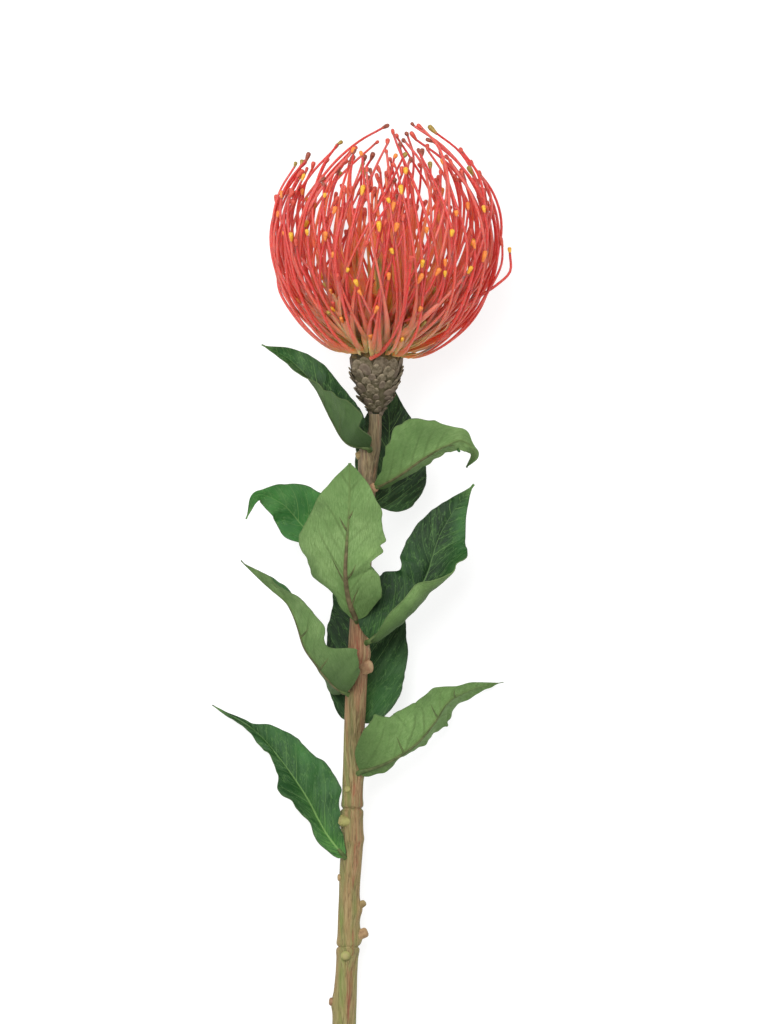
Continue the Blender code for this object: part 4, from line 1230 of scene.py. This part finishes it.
def add_nub(piece, place, side, length, width, tilt, blush):
    """A rounded stub that grows out of the stem."""
    x, z, radius = (float(value) for value in stem_line(place))
    out = np.array([math.cos(side), 0.0, math.sin(side)])
    ahead = math.cos(tilt) * out + math.sin(tilt) * np.array([0.0, 1.0, 0.0])
    foot = np.array([x, place, z]) + out * (radius - NUB_ROOT)
    reach = np.array(NUB_REACH) * (length + NUB_ROOT)
    swell = np.array(NUB_SWELL) * width
    line = foot + reach[:, None] * ahead
    line[-1] -= ahead * 0.12
    rings = rings_about(line, swell, swell, each((0.0, 1.0, 0.0), len(reach)), NUB_SIDES)
    tube(piece, rings, even_places(len(reach), blush), 1)


def make_involucre(scale_finish):
    """The cone under the head: a dark core with rows of overlapping scales and a collar of bracts."""
    chance = random.Random(INVOLUCRE_SEED)
    heights, radii = (np.array(values) for values in zip(*INVOLUCRE_PROFILE))
    piece = Piece()
    y = np.linspace(*CORE_SPAN, CORE_RINGS)
    core = np.repeat((np.interp(y, heights, radii) - CORE_INSET)[:, None], CORE_SIDES, axis=1)
    tube(piece, level_rings(HEAD_BASE[0], y, 0.0, core), np.zeros((CORE_RINGS, 2)))
    for row, count in enumerate(SCALE_COUNTS):
        height = SCALE_FIRST_ROW + row * SCALE_ROW_STEP
        for k in range(count):
            turn = 2 * math.pi * (k + 0.5 * (row % 2)) / count + chance.uniform(-0.15, 0.15)
            lift = height + chance.uniform(-1.1, 1.1)
            size = chance.uniform(0.75, 1.2) * (0.6 + 0.055 * row)
            shape = (chance.uniform(*SCALE_HALF_WIDTHS) * size, chance.uniform(*SCALE_LENGTHS) * size,
                     SCALE_THICKNESS * size)
            add_scale(piece, chance, turn, lift, shape, 7.0 + 1.4 * row, heights, radii)
    for k in range(BRACTS):
        turn = 2 * math.pi * (k + 0.3) / BRACTS + chance.uniform(-0.12, 0.12)
        shape = (chance.uniform(*BRACT_HALF_WIDTHS), chance.uniform(*BRACT_LENGTHS), BRACT_THICKNESS)
        lift = BRACT_HEIGHT + chance.uniform(-0.8, 0.6)
        add_scale(piece, chance, turn, lift, shape, 1.0, heights, radii)
    involucre = piece.make("involucre_scales", (scale_finish,), sharp=BARK_SHARP)
    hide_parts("involucre")


def add_scale(piece, chance, turn, height, size, open_angle, heights, radii):
    """One scale: a thick pad that leaves the cone at its foot and stands out at its tip."""
    wide, long, thick = size
    here = np.interp([height, height + 1.0], heights, radii)
    out = np.array([math.cos(turn), 0.0, math.sin(turn)])
    up = unit(np.array([0.0, 1.0, 0.0]) + (here[1] - here[0]) * out)
    proud = unit(out - (out @ up) * up)
    lean = math.radians(open_angle + chance.uniform(-6, 6))
    aside = math.radians(chance.uniform(-22, 22))
    ahead = math.cos(lean) * up + math.sin(lean) * proud
    ahead = math.cos(aside) * ahead + math.sin(aside) * np.cross(ahead, proud)
    foot = np.array([HEAD_BASE[0], height, 0.0]) + out * (here[0] - 0.5)
    share = np.array(SCALE_SHARES)
    route = foot + (share * long)[:, None] * ahead + (0.5 * share**2)[:, None] * proud
    width, depth = wide * np.array(SCALE_WIDTHS), thick * np.array(SCALE_DEPTHS)
    rings = rings_about(route, width, depth, each(proud, len(share)), SCALE_SIDES, cup=-0.08)
    tube(piece, rings, np.stack([share, each(chance.random(), len(share))], axis=1))


class Bench:
    """Sets out the nodes of one material or group and joins them."""

    def __init__(self, tree):
        self.tree = tree

    def node(self, kind, values=(), **settings):
        """A new node with its settings, and a number or another node's output on each socket named."""
        made = self.tree.nodes.new(kind)
        for key, value in settings.items():
            setattr(made, key, value)
        for socket, value in dict(values).items():
            self.feed(made.inputs[socket], value)
        return made

    def feed(self, socket, value):
        if isinstance(value, bpy.types.NodeSocket):
            self.tree.links.new(value, socket)
        else:
            socket.default_value = value

    def math(self, operation, a, b=0.0):
        return self.node("ShaderNodeMath", {0: a, 1: b}, operation=operation).outputs[0]

    def times(self, a, b):
        return self.math("MULTIPLY", a, b)

    def step(self, value, low, high, to_low=0.0, to_high=1.0):
        """A soft step of value from to_low at low to to_high at high."""
        return self.node(
            "ShaderNodeMapRange",
            {"Value": value, "From Min": low, "From Max": high, "To Min": to_low, "To Max": to_high},
            interpolation_type="SMOOTHSTEP",
        ).outputs["Result"]

    def mix(self, share, a, b):
        """Colour a where share is 0 and b where it is 1."""
        a, b = ((*colour, 1.0) if isinstance(colour, tuple) else colour for colour in (a, b))
        return self.node("ShaderNodeMix", {0: share, 6: a, 7: b}, data_type="RGBA").outputs[2]

    def layers(self, colour, *layers):
        """The colour with others laid over it in turn, each given as its share and the colour."""
        for share, over in layers:
            colour = self.mix(share, colour, over)
        return colour

    def ramp(self, value, stops):
        """A run of colours, each at its place from 0 to 1, read at value."""
        made = self.node("ShaderNodeValToRGB", {"Fac": value})
        band = made.color_ramp
        while len(band.elements) < len(stops):
            band.elements.new(1.0)
        for element, (place, colour) in zip(band.elements, stops):
            element.position = place
            element.color = (*colour, 1.0)
        return made.outputs["Color"]

    def noise(self, vector, scale, detail=3.0, roughness=0.55):
        values = {"Vector": vector, "Scale": scale, "Detail": detail, "Roughness": roughness}
        return self.node("ShaderNodeTexNoise", values).outputs["Fac"]

    def vector(self, x, y, z=0.0):
        return self.node("ShaderNodeCombineXYZ", {0: x, 1: y, 2: z}).outputs[0]

    def map(self, called):
        """The two values that a piece's map of that name carries."""
        made = self.node("ShaderNodeUVMap", uv_map=called)
        split = self.node("ShaderNodeSeparateXYZ", {0: made.outputs[0]})
        return split.outputs[0], split.outputs[1]

    def place(self):
        return self.node("ShaderNodeTexCoord").outputs["Object"]

    def group(self, tree, values):
        """The outputs of a node group that is fed the values."""
        made = self.node("ShaderNodeGroup")
        made.node_tree = tree
        for socket, value in values.items():
            self.feed(made.inputs[socket], value)
        return made.outputs


def rgb(red, green, blue):
    """A colour given as 0 to 255 on screen, as the light it reflects."""
    return tuple(((c / 255 + 0.055) / 1.055) ** 2.4 if c > 10 else c / 3295 for c in (red, green, blue))


def start_group(name, inputs, outputs):
    """A node group with float inputs (a vector where its value is None) and float outputs."""
    tree = bpy.data.node_groups.new(name, "ShaderNodeTree")
    for called, value in inputs.items():
        kind = "NodeSocketVector" if value is None else "NodeSocketFloat"
        socket = tree.interface.new_socket(name=called, in_out="INPUT", socket_type=kind)
        if value is not None:
            socket.default_value = value
    for called in outputs:
        tree.interface.new_socket(name=called, in_out="OUTPUT", socket_type="NodeSocketFloat")
    bench = Bench(tree)
    given = bench.node("NodeGroupInput").outputs
    result = bench.node("NodeGroupOutput").inputs
    return tree, bench, given, result


def make_threads_group():
    """Fine lengthwise threads: stretched noise in two sizes."""
    tree, bench, given, result = start_group(
        "lengthwise_threads",
        {"Along": 0.0, "Across": 0.0, "Length": 1.0, "Fineness": 100.0},
        ("Threads",),
    )
    long = bench.times(given["Along"], given["Length"])
    fine = bench.times(given["Across"], given["Fineness"])
    first = bench.noise(bench.vector(long, fine), 1.0, 4.0, 0.7)
    twice = bench.times(fine, 2.7)
    second = bench.noise(bench.vector(bench.times(long, 2.0), twice, 3.0), 1.0, 2.0, 0.6)
    both = bench.math("ADD", bench.times(first, 0.62), bench.times(second, 0.38))
    bench.feed(result["Threads"], bench.step(both, 0.34, 0.66))
    return tree


def make_mottle_group():
    """Broad soft patches with smaller ones over them."""
    tree, bench, given, result = start_group("mottle", {"Vector": None, "Scale": 30.0}, ("Patches",))
    broad = bench.noise(given["Vector"], given["Scale"], 3.0)
    bench.feed(result["Patches"], bench.step(broad, 0.35, 0.65))
    return tree


def make_netting_group():
    """The finest veins: a net of crooked cells between the branches."""
    tree, bench, given, result = start_group("fine_netting", {"Along": 0.0, "Across": 0.0}, ("Lines",))
    vector = bench.vector(bench.times(given["Along"], 2.6), bench.times(given["Across"], 0.34))
    values = {"Vector": vector, "Scale": 1.7, "Detail": 2.0}
    bend = bench.node("ShaderNodeTexNoise", values).outputs["Color"]
    bent = bench.node("ShaderNodeVectorMath", {0: vector, 1: bend}, operation="ADD").outputs[0]
    cells = bench.node("ShaderNodeTexVoronoi", {"Vector": bent, "Scale": 1.0}, feature="DISTANCE_TO_EDGE")
    line = bench.step(cells.outputs["Distance"], 0.0, 0.11, 1.0, 0.0)
    worn = bench.step(bench.noise(vector, 0.8, 2.0), 0.4, 0.6)
    bench.feed(result["Lines"], bench.times(line, worn))
    return tree


def make_veins_group():
    """Midrib and branch veins of a blade, from millimetres across it and the order of its veins."""
    tree, bench, given, result = start_group(
        "blade_veins",
        {"Across": 0.0, "Share": 0.0, "Edge": 0.0, "Order": 0.0, "Strength": 1.0, "Rib": 0.8, "Width": 0.5},
        ("Midrib", "Branches"),
    )
    away = bench.math("ABSOLUTE", given["Across"])
    rib = bench.times(given["Rib"], bench.math("SUBTRACT", 1.15, given["Share"]))
    inside = bench.math("DIVIDE", away, rib)
    bench.feed(result["Midrib"], bench.step(inside, 0.45, 1.0, 1.0, 0.0))
    part = bench.math("ABSOLUTE", bench.math("SUBTRACT", bench.math("FRACT", given["Order"]), 0.5))
    gap = bench.math("DIVIDE", bench.times(part, LEAF_VEIN_SPACING), given["Width"])
    line = bench.times(bench.step(gap, 0.2, 1.0, 1.0, 0.0), given["Strength"])
    fade = bench.step(given["Edge"], 0.3, 0.95, 1.0, 0.0)
    bench.feed(result["Branches"], bench.times(line, fade))
    return tree


def start_finish(name, roughness, **values):
    """A material with its shader, whose constant values are set on the shader itself."""
    finish = bpy.data.materials.new(name)
    finish.use_nodes = True
    tree = finish.node_tree
    shader = tree.nodes["Principled BSDF"]
    shader.inputs["Roughness"].default_value = roughness
    for socket, value in values.items():
        shader.inputs[socket.replace("_", " ")].default_value = value
    return finish, Bench(tree), shader


def bumpy(bench, shader, height, distance, strength=1.0):
    """Bumps of a height from 0 to 1, which stands for a distance in metres."""
    bump = bench.node("ShaderNodeBump", {"Height": height, "Distance": distance, "Strength": strength})
    bench.feed(shader.inputs["Normal"], bump.outputs["Normal"])


def mottled(bench, groups, scale):
    """Soft patches all over the flower, smaller for a larger scale."""
    return bench.group(groups["mottle"], {"Vector": bench.place(), "Scale": scale})["Patches"]


def blade_veins(bench, groups, places, rib, width):
    """Order of the veins, distance from the midrib, the veins themselves and the net between them.

    places is what blade_places gives; rib is the midrib's half width near the stem and width a
    branch's, in millimetres.
    """
    across, share, edge = places[1:]
    order, strength = bench.map("vein")
    order = bench.times(order, ORDER_SPAN)
    veins = bench.group(groups["veins"], {"Across": across, "Share": share, "Edge": edge, "Order": order,
                                          "Strength": strength, "Rib": rib, "Width": width})
    away = bench.math("ABSOLUTE", across)
    net = bench.group(groups["netting"], {"Along": order, "Across": away})["Lines"]
    return order, away, veins, net


def blade_places(bench):
    """Millimetres along and across, share of the length, and how near the edge is."""
    along, across = bench.map("blade")
    share, spread = bench.map("share")
    along = bench.times(along, MAP_SPAN)
    across = bench.times(bench.math("SUBTRACT", across, 0.5), MAP_SPAN)
    edge = bench.math("ABSOLUTE", bench.math("SUBTRACT", bench.times(spread, 2.0), 1.0))
    return along, across, share, edge


def leaf_upper(groups):
    """Deep green upper side darkened by painted shade, with painted sheen in broad pale streaks between its
    sunken veins and fine pale lines on them.
    """
    finish, bench, shader = start_finish("leaf_upper_dark_green", 0.5, Specular_IOR_Level=0.22)
    along, across, share, edge = places = blade_places(bench)
    painted_shade, fresh = bench.map("tone")
    order, away, veins, net = blade_veins(bench, groups, places, 0.62, 0.4)
    broad = bench.noise(bench.vector(bench.times(order, 1.6), bench.times(away, 0.07)), 1.0, 2.0)
    broad = bench.step(broad, 0.42, 0.68)
    fine = bench.noise(bench.vector(bench.times(order, 11.0), bench.times(away, 0.10), 4.0),
                       1.0, 4.0, 0.65)
    lines = bench.step(fine, 0.56, 0.74)
    patches = mottled(bench, groups, 40.0)
    # deep and light are the upper green in shadow and in light; the painted shade of the tone map mixes
    # them
    deep = bench.mix(patches, rgb(17, 38, 17), rgb(32, 62, 30))
    light = bench.mix(patches, rgb(44, 96, 42), rgb(70, 126, 60))
    near = bench.times(bench.step(away, 0.5, 8.0, 1.0, 0.0), bench.step(share, 0.0, 0.5, 0.8, 0.0))
    rib = bench.times(veins["Midrib"], bench.step(share, 0.0, 0.9, 0.85, 0.2))
    green = bench.layers(
        bench.mix(painted_shade, light, deep),
        # painted sheen: broad pale grey streaks between the veins
        (bench.times(broad, 0.26), rgb(90, 124, 80)),
        (bench.times(lines, 0.42), rgb(100, 144, 76)),
        (bench.times(net, 0.34), rgb(108, 150, 84)),
        (bench.times(veins["Branches"], 0.55), rgb(122, 160, 92)),
        (bench.times(near, bench.times(fresh, bench.step(fine, 0.4, 0.62))), rgb(92, 150, 62)),
        (rib, bench.mix(fresh, rgb(108, 144, 84), rgb(128, 166, 92))),
        (bench.step(share, 0.88, 1.0, 0.0, 0.5), rgb(116, 156, 86)),
        (bench.step(edge, 0.955, 1.0, 0.0, 0.6), rgb(52, 70, 50)),
    )
    bench.feed(shader.inputs["Base Color"], green)
    bench.feed(shader.inputs["Roughness"], bench.step(broad, 0.0, 1.0, 0.4, 0.58))
    weave = bench.group(groups["threads"], {"Along": along, "Across": across, "Length": 0.9,
                                            "Fineness": 5.0})
    height = bench.math("ADD", bench.times(weave["Threads"], 0.35),
                        bench.math("ADD", bench.times(lines, 0.5), veins["Branches"]))
    height = bench.math("SUBTRACT", height, bench.times(net, 0.8))
    bumpy(bench, shader, height, 0.00018, 0.9)
    return finish


def leaf_under(groups):
    """Pale woven under side with lengthwise threads, darker by the veins and near the stem, and by painted
    shade.
    """
    finish, bench, shader = start_finish("leaf_under_pale_green", 0.72, Specular_IOR_Level=0.25)
    along, across, share, edge = places = blade_places(bench)
    painted_shade, fresh = bench.map("tone")
    veins, net = blade_veins(bench, groups, places, 2.2, 1.5)[2:]
    threads = bench.group(groups["threads"], {"Along": along, "Across": across, "Length": 0.22,
                                              "Fineness": 3.3})["Threads"]
    flecks = bench.step(bench.noise(bench.place(), 420.0, 3.0, 0.7), 0.38, 0.66)
    wide = bench.step(bench.noise(bench.place(), 26.0, 2.0), 0.36, 0.62)
    green = bench.layers(
        bench.mix(threads, rgb(96, 128, 68), rgb(150, 178, 116)),
        (bench.times(wide, 0.45), rgb(96, 134, 72)),
        (bench.times(net, 0.22), rgb(84, 112, 58)),
        (bench.times(fresh, 0.6), bench.mix(flecks, rgb(104, 142, 70), rgb(136, 168, 100))),
        (bench.times(mottled(bench, groups, 62.0), 0.6), rgb(90, 122, 64)),
        (bench.times(veins["Branches"], 0.5), rgb(78, 100, 50)),
        (bench.times(veins["Midrib"], 0.4), rgb(96, 116, 60)),
        (bench.step(share, 0.0, 0.32, 0.6, 0.0), rgb(74, 102, 48)),
        # painted shade from the tone map
        (bench.times(painted_shade, 0.8), rgb(50, 74, 38)),
        (bench.step(edge, 0.95, 1.0, 0.0, 0.5), rgb(84, 100, 60)),
    )
    bench.feed(shader.inputs["Base Color"], green)
    height = bench.math("ADD", threads, bench.times(flecks, 0.5))
    bumpy(bench, shader, bench.math("ADD", height, net), 0.00015, 0.85)
    return finish


def leaf_vein(groups):
    """Raised veins of the under side: olive green, darker by the blade's painted shade, and browner on a
    thick midrib and near the stem.
    """
    finish, bench, shader = start_finish("leaf_vein_olive", 0.65, Specular_IOR_Level=0.25)
    along, brown = bench.map("blade")
    painted_shade = bench.map("tone")[0]
    patches = mottled(bench, groups, 300.0)
    green = bench.mix(patches, rgb(62, 82, 40), rgb(84, 106, 56))
    # painted shade of the blade under the vein
    green = bench.mix(bench.times(painted_shade, 0.6), green, rgb(52, 74, 38))
    bark = bench.mix(patches, rgb(78, 70, 46), rgb(106, 94, 66))
    colour = bench.mix(bench.times(brown, bench.step(along, 0.55, 1.0, 1.0, 0.35)), green, bark)
    colour = bench.mix(bench.step(along, 0.5, 1.0, 0.0, 0.5), colour, rgb(98, 126, 68))
    bench.feed(shader.inputs["Base Color"], colour)
    bumpy(bench, shader, patches, 0.0001, 0.5)
    return finish


def floret_finish():
    """Straps and styles: cream at the foot, salmon on the strap, coral on the style; painted lighter on the
    florets inside the head against the shade there, and with strap edges painted darker so that the straps
    look lit through.
    """
    finish, bench, shader = start_finish(
        "floret_cream_to_coral", 0.42, Specular_IOR_Level=0.4,
        Subsurface_Weight=0.8, Subsurface_Scale=0.004,
    )
    along, tone = bench.map("along")
    rim, outer = bench.map("rim")
    wobble = bench.noise(bench.vector(bench.times(along, 7.0), bench.times(tone, 40.0)), 1.0, 3.0)
    shifted = bench.math("ADD", along, bench.times(bench.math("SUBTRACT", wobble, 0.5), 0.14))
    # florets inside the head: the run painted lighter and yellower, as painted light against the shade in
    # the head
    inner_colour_painted_lighter = bench.ramp(shifted, (
        (0.0, rgb(214, 194, 116)), (0.08, rgb(232, 186, 108)), (0.2, rgb(238, 164, 94)),
        (0.36, rgb(242, 142, 88)), (0.56, rgb(238, 116, 80)), (0.8, rgb(222, 86, 68)),
        (1.0, rgb(192, 60, 50)),
    ))
    outer_colour = bench.ramp(shifted, (
        (0.0, rgb(212, 192, 120)), (0.08, rgb(216, 172, 108)), (0.2, rgb(210, 134, 92)),
        (0.36, rgb(204, 106, 82)), (0.56, rgb(196, 80, 68)), (0.8, rgb(192, 64, 60)),
        (1.0, rgb(176, 50, 50)),
    ))
    low = bench.step(along, 0.06, 0.42, 1.0, 0.0)
    edges = bench.step(rim, 0.72, 1.0)
    cream = bench.times(bench.times(edges, low), bench.step(tone, 0.2, 0.7, 0.35, 0.9))
    strap = bench.times(bench.step(along, 0.12, 0.3), bench.step(along, 0.42, 0.56, 1.0, 0.0))
    darker = bench.times(bench.step(tone, 0.0, 0.4, 0.4, 0.0), bench.step(along, 0.1, 0.5))
    grain = bench.noise(bench.place(), 900.0, 2.0)
    colour = bench.layers(
        bench.mix(outer, inner_colour_painted_lighter, outer_colour),
        (cream, rgb(220, 198, 128)),
        # painted shade: strap edges darker red, so that the strap's middle looks lit through
        (bench.times(bench.times(edges, strap), 0.4), rgb(182, 60, 48)),
        (bench.step(tone, 0.5, 1.0, 0.0, 0.34), rgb(224, 138, 122)),
        (darker, rgb(186, 50, 38)),
        (bench.step(grain, 0.4, 0.8, 0.0, 0.25), rgb(228, 150, 132)),
    )
    bench.feed(shader.inputs["Base Color"], colour)
    bench.feed(shader.inputs["Roughness"], bench.step(grain, 0.3, 0.7, 0.34, 0.54))
    bumpy(bench, shader, grain, 0.00008, 0.5)
    return finish


def knob_finish_of(name, dark, light):
    """A knob, in patches of two colours, and coral where its style ends."""
    finish, bench, shader = start_finish(name, 0.5)
    along = bench.map("along")[0]
    grain = bench.noise(bench.place(), 1400.0, 2.0)
    colour = bench.mix(bench.step(grain, 0.35, 0.65), dark, light)
    colour = bench.mix(bench.step(along, 0.0, 0.35, 0.7, 0.0), colour, rgb(206, 84, 58))
    bench.feed(shader.inputs["Base Color"], colour)
    bumpy(bench, shader, grain, 0.00015, 0.7)
    return finish


def streaks(bench, place, rounds, long, detail=3.0, roughness=0.55):
    """Noise drawn out along the stem: its fineness a millimetre about the stem and a metre along it."""
    stretch = (1000.0 * rounds, long, 1000.0 * rounds)
    spread = bench.node("ShaderNodeVectorMath", {0: place, 1: stretch}, operation="MULTIPLY")
    return bench.noise(spread.outputs[0], 1.0, detail, roughness)


def bark_of_stem():
    """Brown-grey under the head, reddish tan half way and olive green lower down, in long streaks."""
    finish, bench, shader = start_finish("stem_bark_streaked", 0.68, Specular_IOR_Level=0.3)
    place = bench.place()
    along, tint = bench.map("along")
    threads = bench.step(streaks(bench, place, 1.1, 39.6, 4.0, 0.65), 0.36, 0.64)
    broad = bench.step(streaks(bench, place, 0.3, 22.0), 0.36, 0.64)
    base = bench.ramp(along, (
        (0.0, rgb(146, 134, 84)), (0.12, rgb(144, 130, 82)), (0.3, rgb(148, 120, 80)),
        (0.45, rgb(146, 112, 78)), (0.62, rgb(140, 100, 72)), (0.8, rgb(126, 100, 78)),
        (1.0, rgb(118, 104, 84)),
    ))
    other = bench.ramp(along, (
        (0.0, rgb(112, 122, 64)), (0.2, rgb(122, 124, 68)), (0.4, rgb(112, 112, 64)),
        (0.55, rgb(96, 96, 54)), (0.75, rgb(100, 82, 56)), (1.0, rgb(92, 80, 58)),
    ))
    red = streaks(bench, place, 0.42, 14.0)
    dark = streaks(bench, place, 1.6, 60.0)
    red_here = bench.times(bench.step(tint, 0.5, 0.95), bench.step(red, 0.36, 0.6, 0.25, 0.95))
    green_here = bench.times(bench.step(tint, 0.05, 0.5, 1.0, 0.0), bench.step(broad, 0.0, 1.0, 0.4, 0.8))
    colour = bench.layers(
        bench.mix(broad, base, other),
        (bench.step(red, 0.52, 0.7, 0.0, 0.75), rgb(140, 76, 56)),
        (red_here, rgb(128, 70, 52)),
        (green_here, rgb(116, 132, 66)),
        (bench.times(threads, 0.36), rgb(176, 160, 116)),
        (bench.step(dark, 0.52, 0.68, 0.0, 0.6), rgb(86, 70, 46)),
    )
    bench.feed(shader.inputs["Base Color"], colour)
    bumpy(bench, shader, bench.math("ADD", threads, bench.times(dark, 1.2)), 0.0003, 0.8)
    return finish


def nub_bark(groups):
    """The stem's nubs: olive or pinkish tan, and paler at their ends."""
    finish, bench, shader = start_finish("stem_nub_olive_tan", 0.7)
    along, blush = bench.map("along")
    patches = mottled(bench, groups, 160.0)
    olive = bench.mix(patches, rgb(124, 120, 66), rgb(156, 156, 90))
    tan = bench.mix(patches, rgb(132, 92, 66), rgb(176, 138, 104))
    colour = bench.mix(blush, olive, tan)
    colour = bench.mix(bench.step(along, 0.55, 1.0, 0.0, 0.4), colour, rgb(184, 166, 118))
    bench.feed(shader.inputs["Base Color"], colour)
    fine = bench.noise(bench.place(), 700.0, 4.0)
    bumpy(bench, shader, fine, 0.0003, 0.7)
    return finish


def scale_bark():
    """Woolly grey-brown scales, dark at the foot, with painted shade in the hollow of each, and paler at
    the tip.
    """
    finish, bench, shader = start_finish("involucre_grey_brown", 0.85, Specular_IOR_Level=0.2)
    along, tone = bench.map("along")
    woolly = bench.noise(bench.place(), 420.0, 5.0, 0.65)
    # painted shade in the cupped hollow of each scale
    hollow_painted_shade = bench.times(bench.step(along, 0.2, 0.5), bench.step(along, 0.6, 0.9, 1.0, 0.0))
    colour = bench.layers(
        bench.mix(bench.step(woolly, 0.36, 0.64), rgb(88, 79, 60), rgb(142, 130, 108)),
        (bench.times(hollow_painted_shade, 0.3), rgb(92, 82, 66)),
        (bench.step(along, 0.0, 0.3, 0.7, 0.0), rgb(66, 60, 42)),
        (bench.step(along, 0.8, 1.0, 0.0, 0.5), rgb(166, 153, 128)),
        (bench.step(tone, 0.4, 1.0, 0.0, 0.55), rgb(112, 96, 86)),
        (bench.step(tone, 0.0, 0.4, 0.3, 0.0), rgb(84, 80, 54)),
    )
    bench.feed(shader.inputs["Base Color"], colour)
    bumpy(bench, shader, woolly, 0.0006, 0.9)
    return finish


def dome_finish(groups):
    """The dark olive dome that the florets stand on."""
    finish, bench, shader = start_finish("receptacle_dark_olive", 0.8)
    colour = bench.mix(mottled(bench, groups, 220.0), rgb(60, 50, 22), rgb(122, 98, 50))
    bench.feed(shader.inputs["Base Color"], colour)
    bumpy(bench, shader, bench.noise(bench.place(), 500.0, 3.0), 0.0005, 0.8)
    return finish


def make_floret_finishes():
    """The straps' finish and those of the knobs, in the order that KNOBS counts them."""
    return (
        floret_finish(),
        knob_finish_of("knob_yellow", rgb(212, 144, 30), rgb(240, 188, 54)),
        knob_finish_of("knob_orange", rgb(214, 108, 44), rgb(236, 146, 58)),
        knob_finish_of("knob_red", rgb(186, 58, 44), rgb(214, 90, 70)),
        knob_finish_of("knob_brown", rgb(120, 54, 42), rgb(160, 84, 58)),
        knob_finish_of("knob_olive", rgb(130, 110, 44), rgb(176, 146, 62)),
    )


def make_stage():
    """A plain pale floor, a broad soft light from the camera's side and an even surround."""
    floor_mesh = bpy.data.meshes.new("studio_floor")
    side = FLOOR_SIDE / 2
    corners = [(-side, -side, 0), (side, -side, 0), (side, side, 0), (-side, side, 0)]
    floor_mesh.from_pydata(corners, [], [(0, 1, 2, 3)])
    floor = put_in_scene("studio_floor", floor_mesh)
    paper, _, shader = start_finish("studio_white", 0.9, Specular_IOR_Level=0.1)
    shader.inputs["Base Color"].default_value = FLOOR_GREY
    shader.inputs["Emission Color"].default_value = WHITE
    shader.inputs["Emission Strength"].default_value = FLOOR_GLOW
    floor_mesh.materials.append(paper)
    world = bpy.data.worlds.new("studio_surround")
    bpy.context.scene.world = world
    world.use_nodes = True
    surround = world.node_tree.nodes["Background"]
    surround.inputs["Color"].default_value = WHITE
    surround.inputs["Strength"].default_value = SURROUND_STRENGTH
    for name, spot, size, power in STUDIO_LIGHTS:
        data = bpy.data.lights.new(name, "AREA")
        data.shape = "RECTANGLE"
        data.size, data.size_y = size
        data.energy = power
        put_in_scene(name, data, spot, np.array(LIT_SPOT) - np.array(spot))


def make_camera():
    """A long lens that looks straight at the flower, with the foot of the stem out of the picture."""
    target = lay_down([VIEW_CENTRE])[0]
    away = lay_down([(VIEW_CENTRE[0], VIEW_CENTRE[1], VIEW_CENTRE[2] + VIEW_DISTANCE)])[0]
    data = bpy.data.cameras.new("portrait")
    data.lens = data.sensor_width * VIEW_DISTANCE / VIEW_HEIGHT
    data.clip_end = 20.0
    bpy.context.scene.camera = put_in_scene("portrait", data, away, target - away)


def main():
    """Makes every piece, the stage and the camera."""
    groups = {"threads": make_threads_group(), "mottle": make_mottle_group(), "veins": make_veins_group(),
              "netting": make_netting_group()}
    leaf_finishes = (leaf_upper(groups), leaf_under(groups), leaf_vein(groups))
    for name in LEAVES:
        make_leaf(name, leaf_finishes)
    make_stem(bark_of_stem(), nub_bark(groups))
    make_involucre(scale_bark())
    make_dome(dome_finish(groups))
    finishes = make_floret_finishes()
    packed_florets(finishes)
    chance = random.Random(FILL_SEED)
    for make in (fill_florets, crown_florets, face_florets, front_stubs):
        make(finishes, chance)
    make_stage()
    make_camera()
    bpy.context.scene.view_settings.view_transform = "Standard"


main()
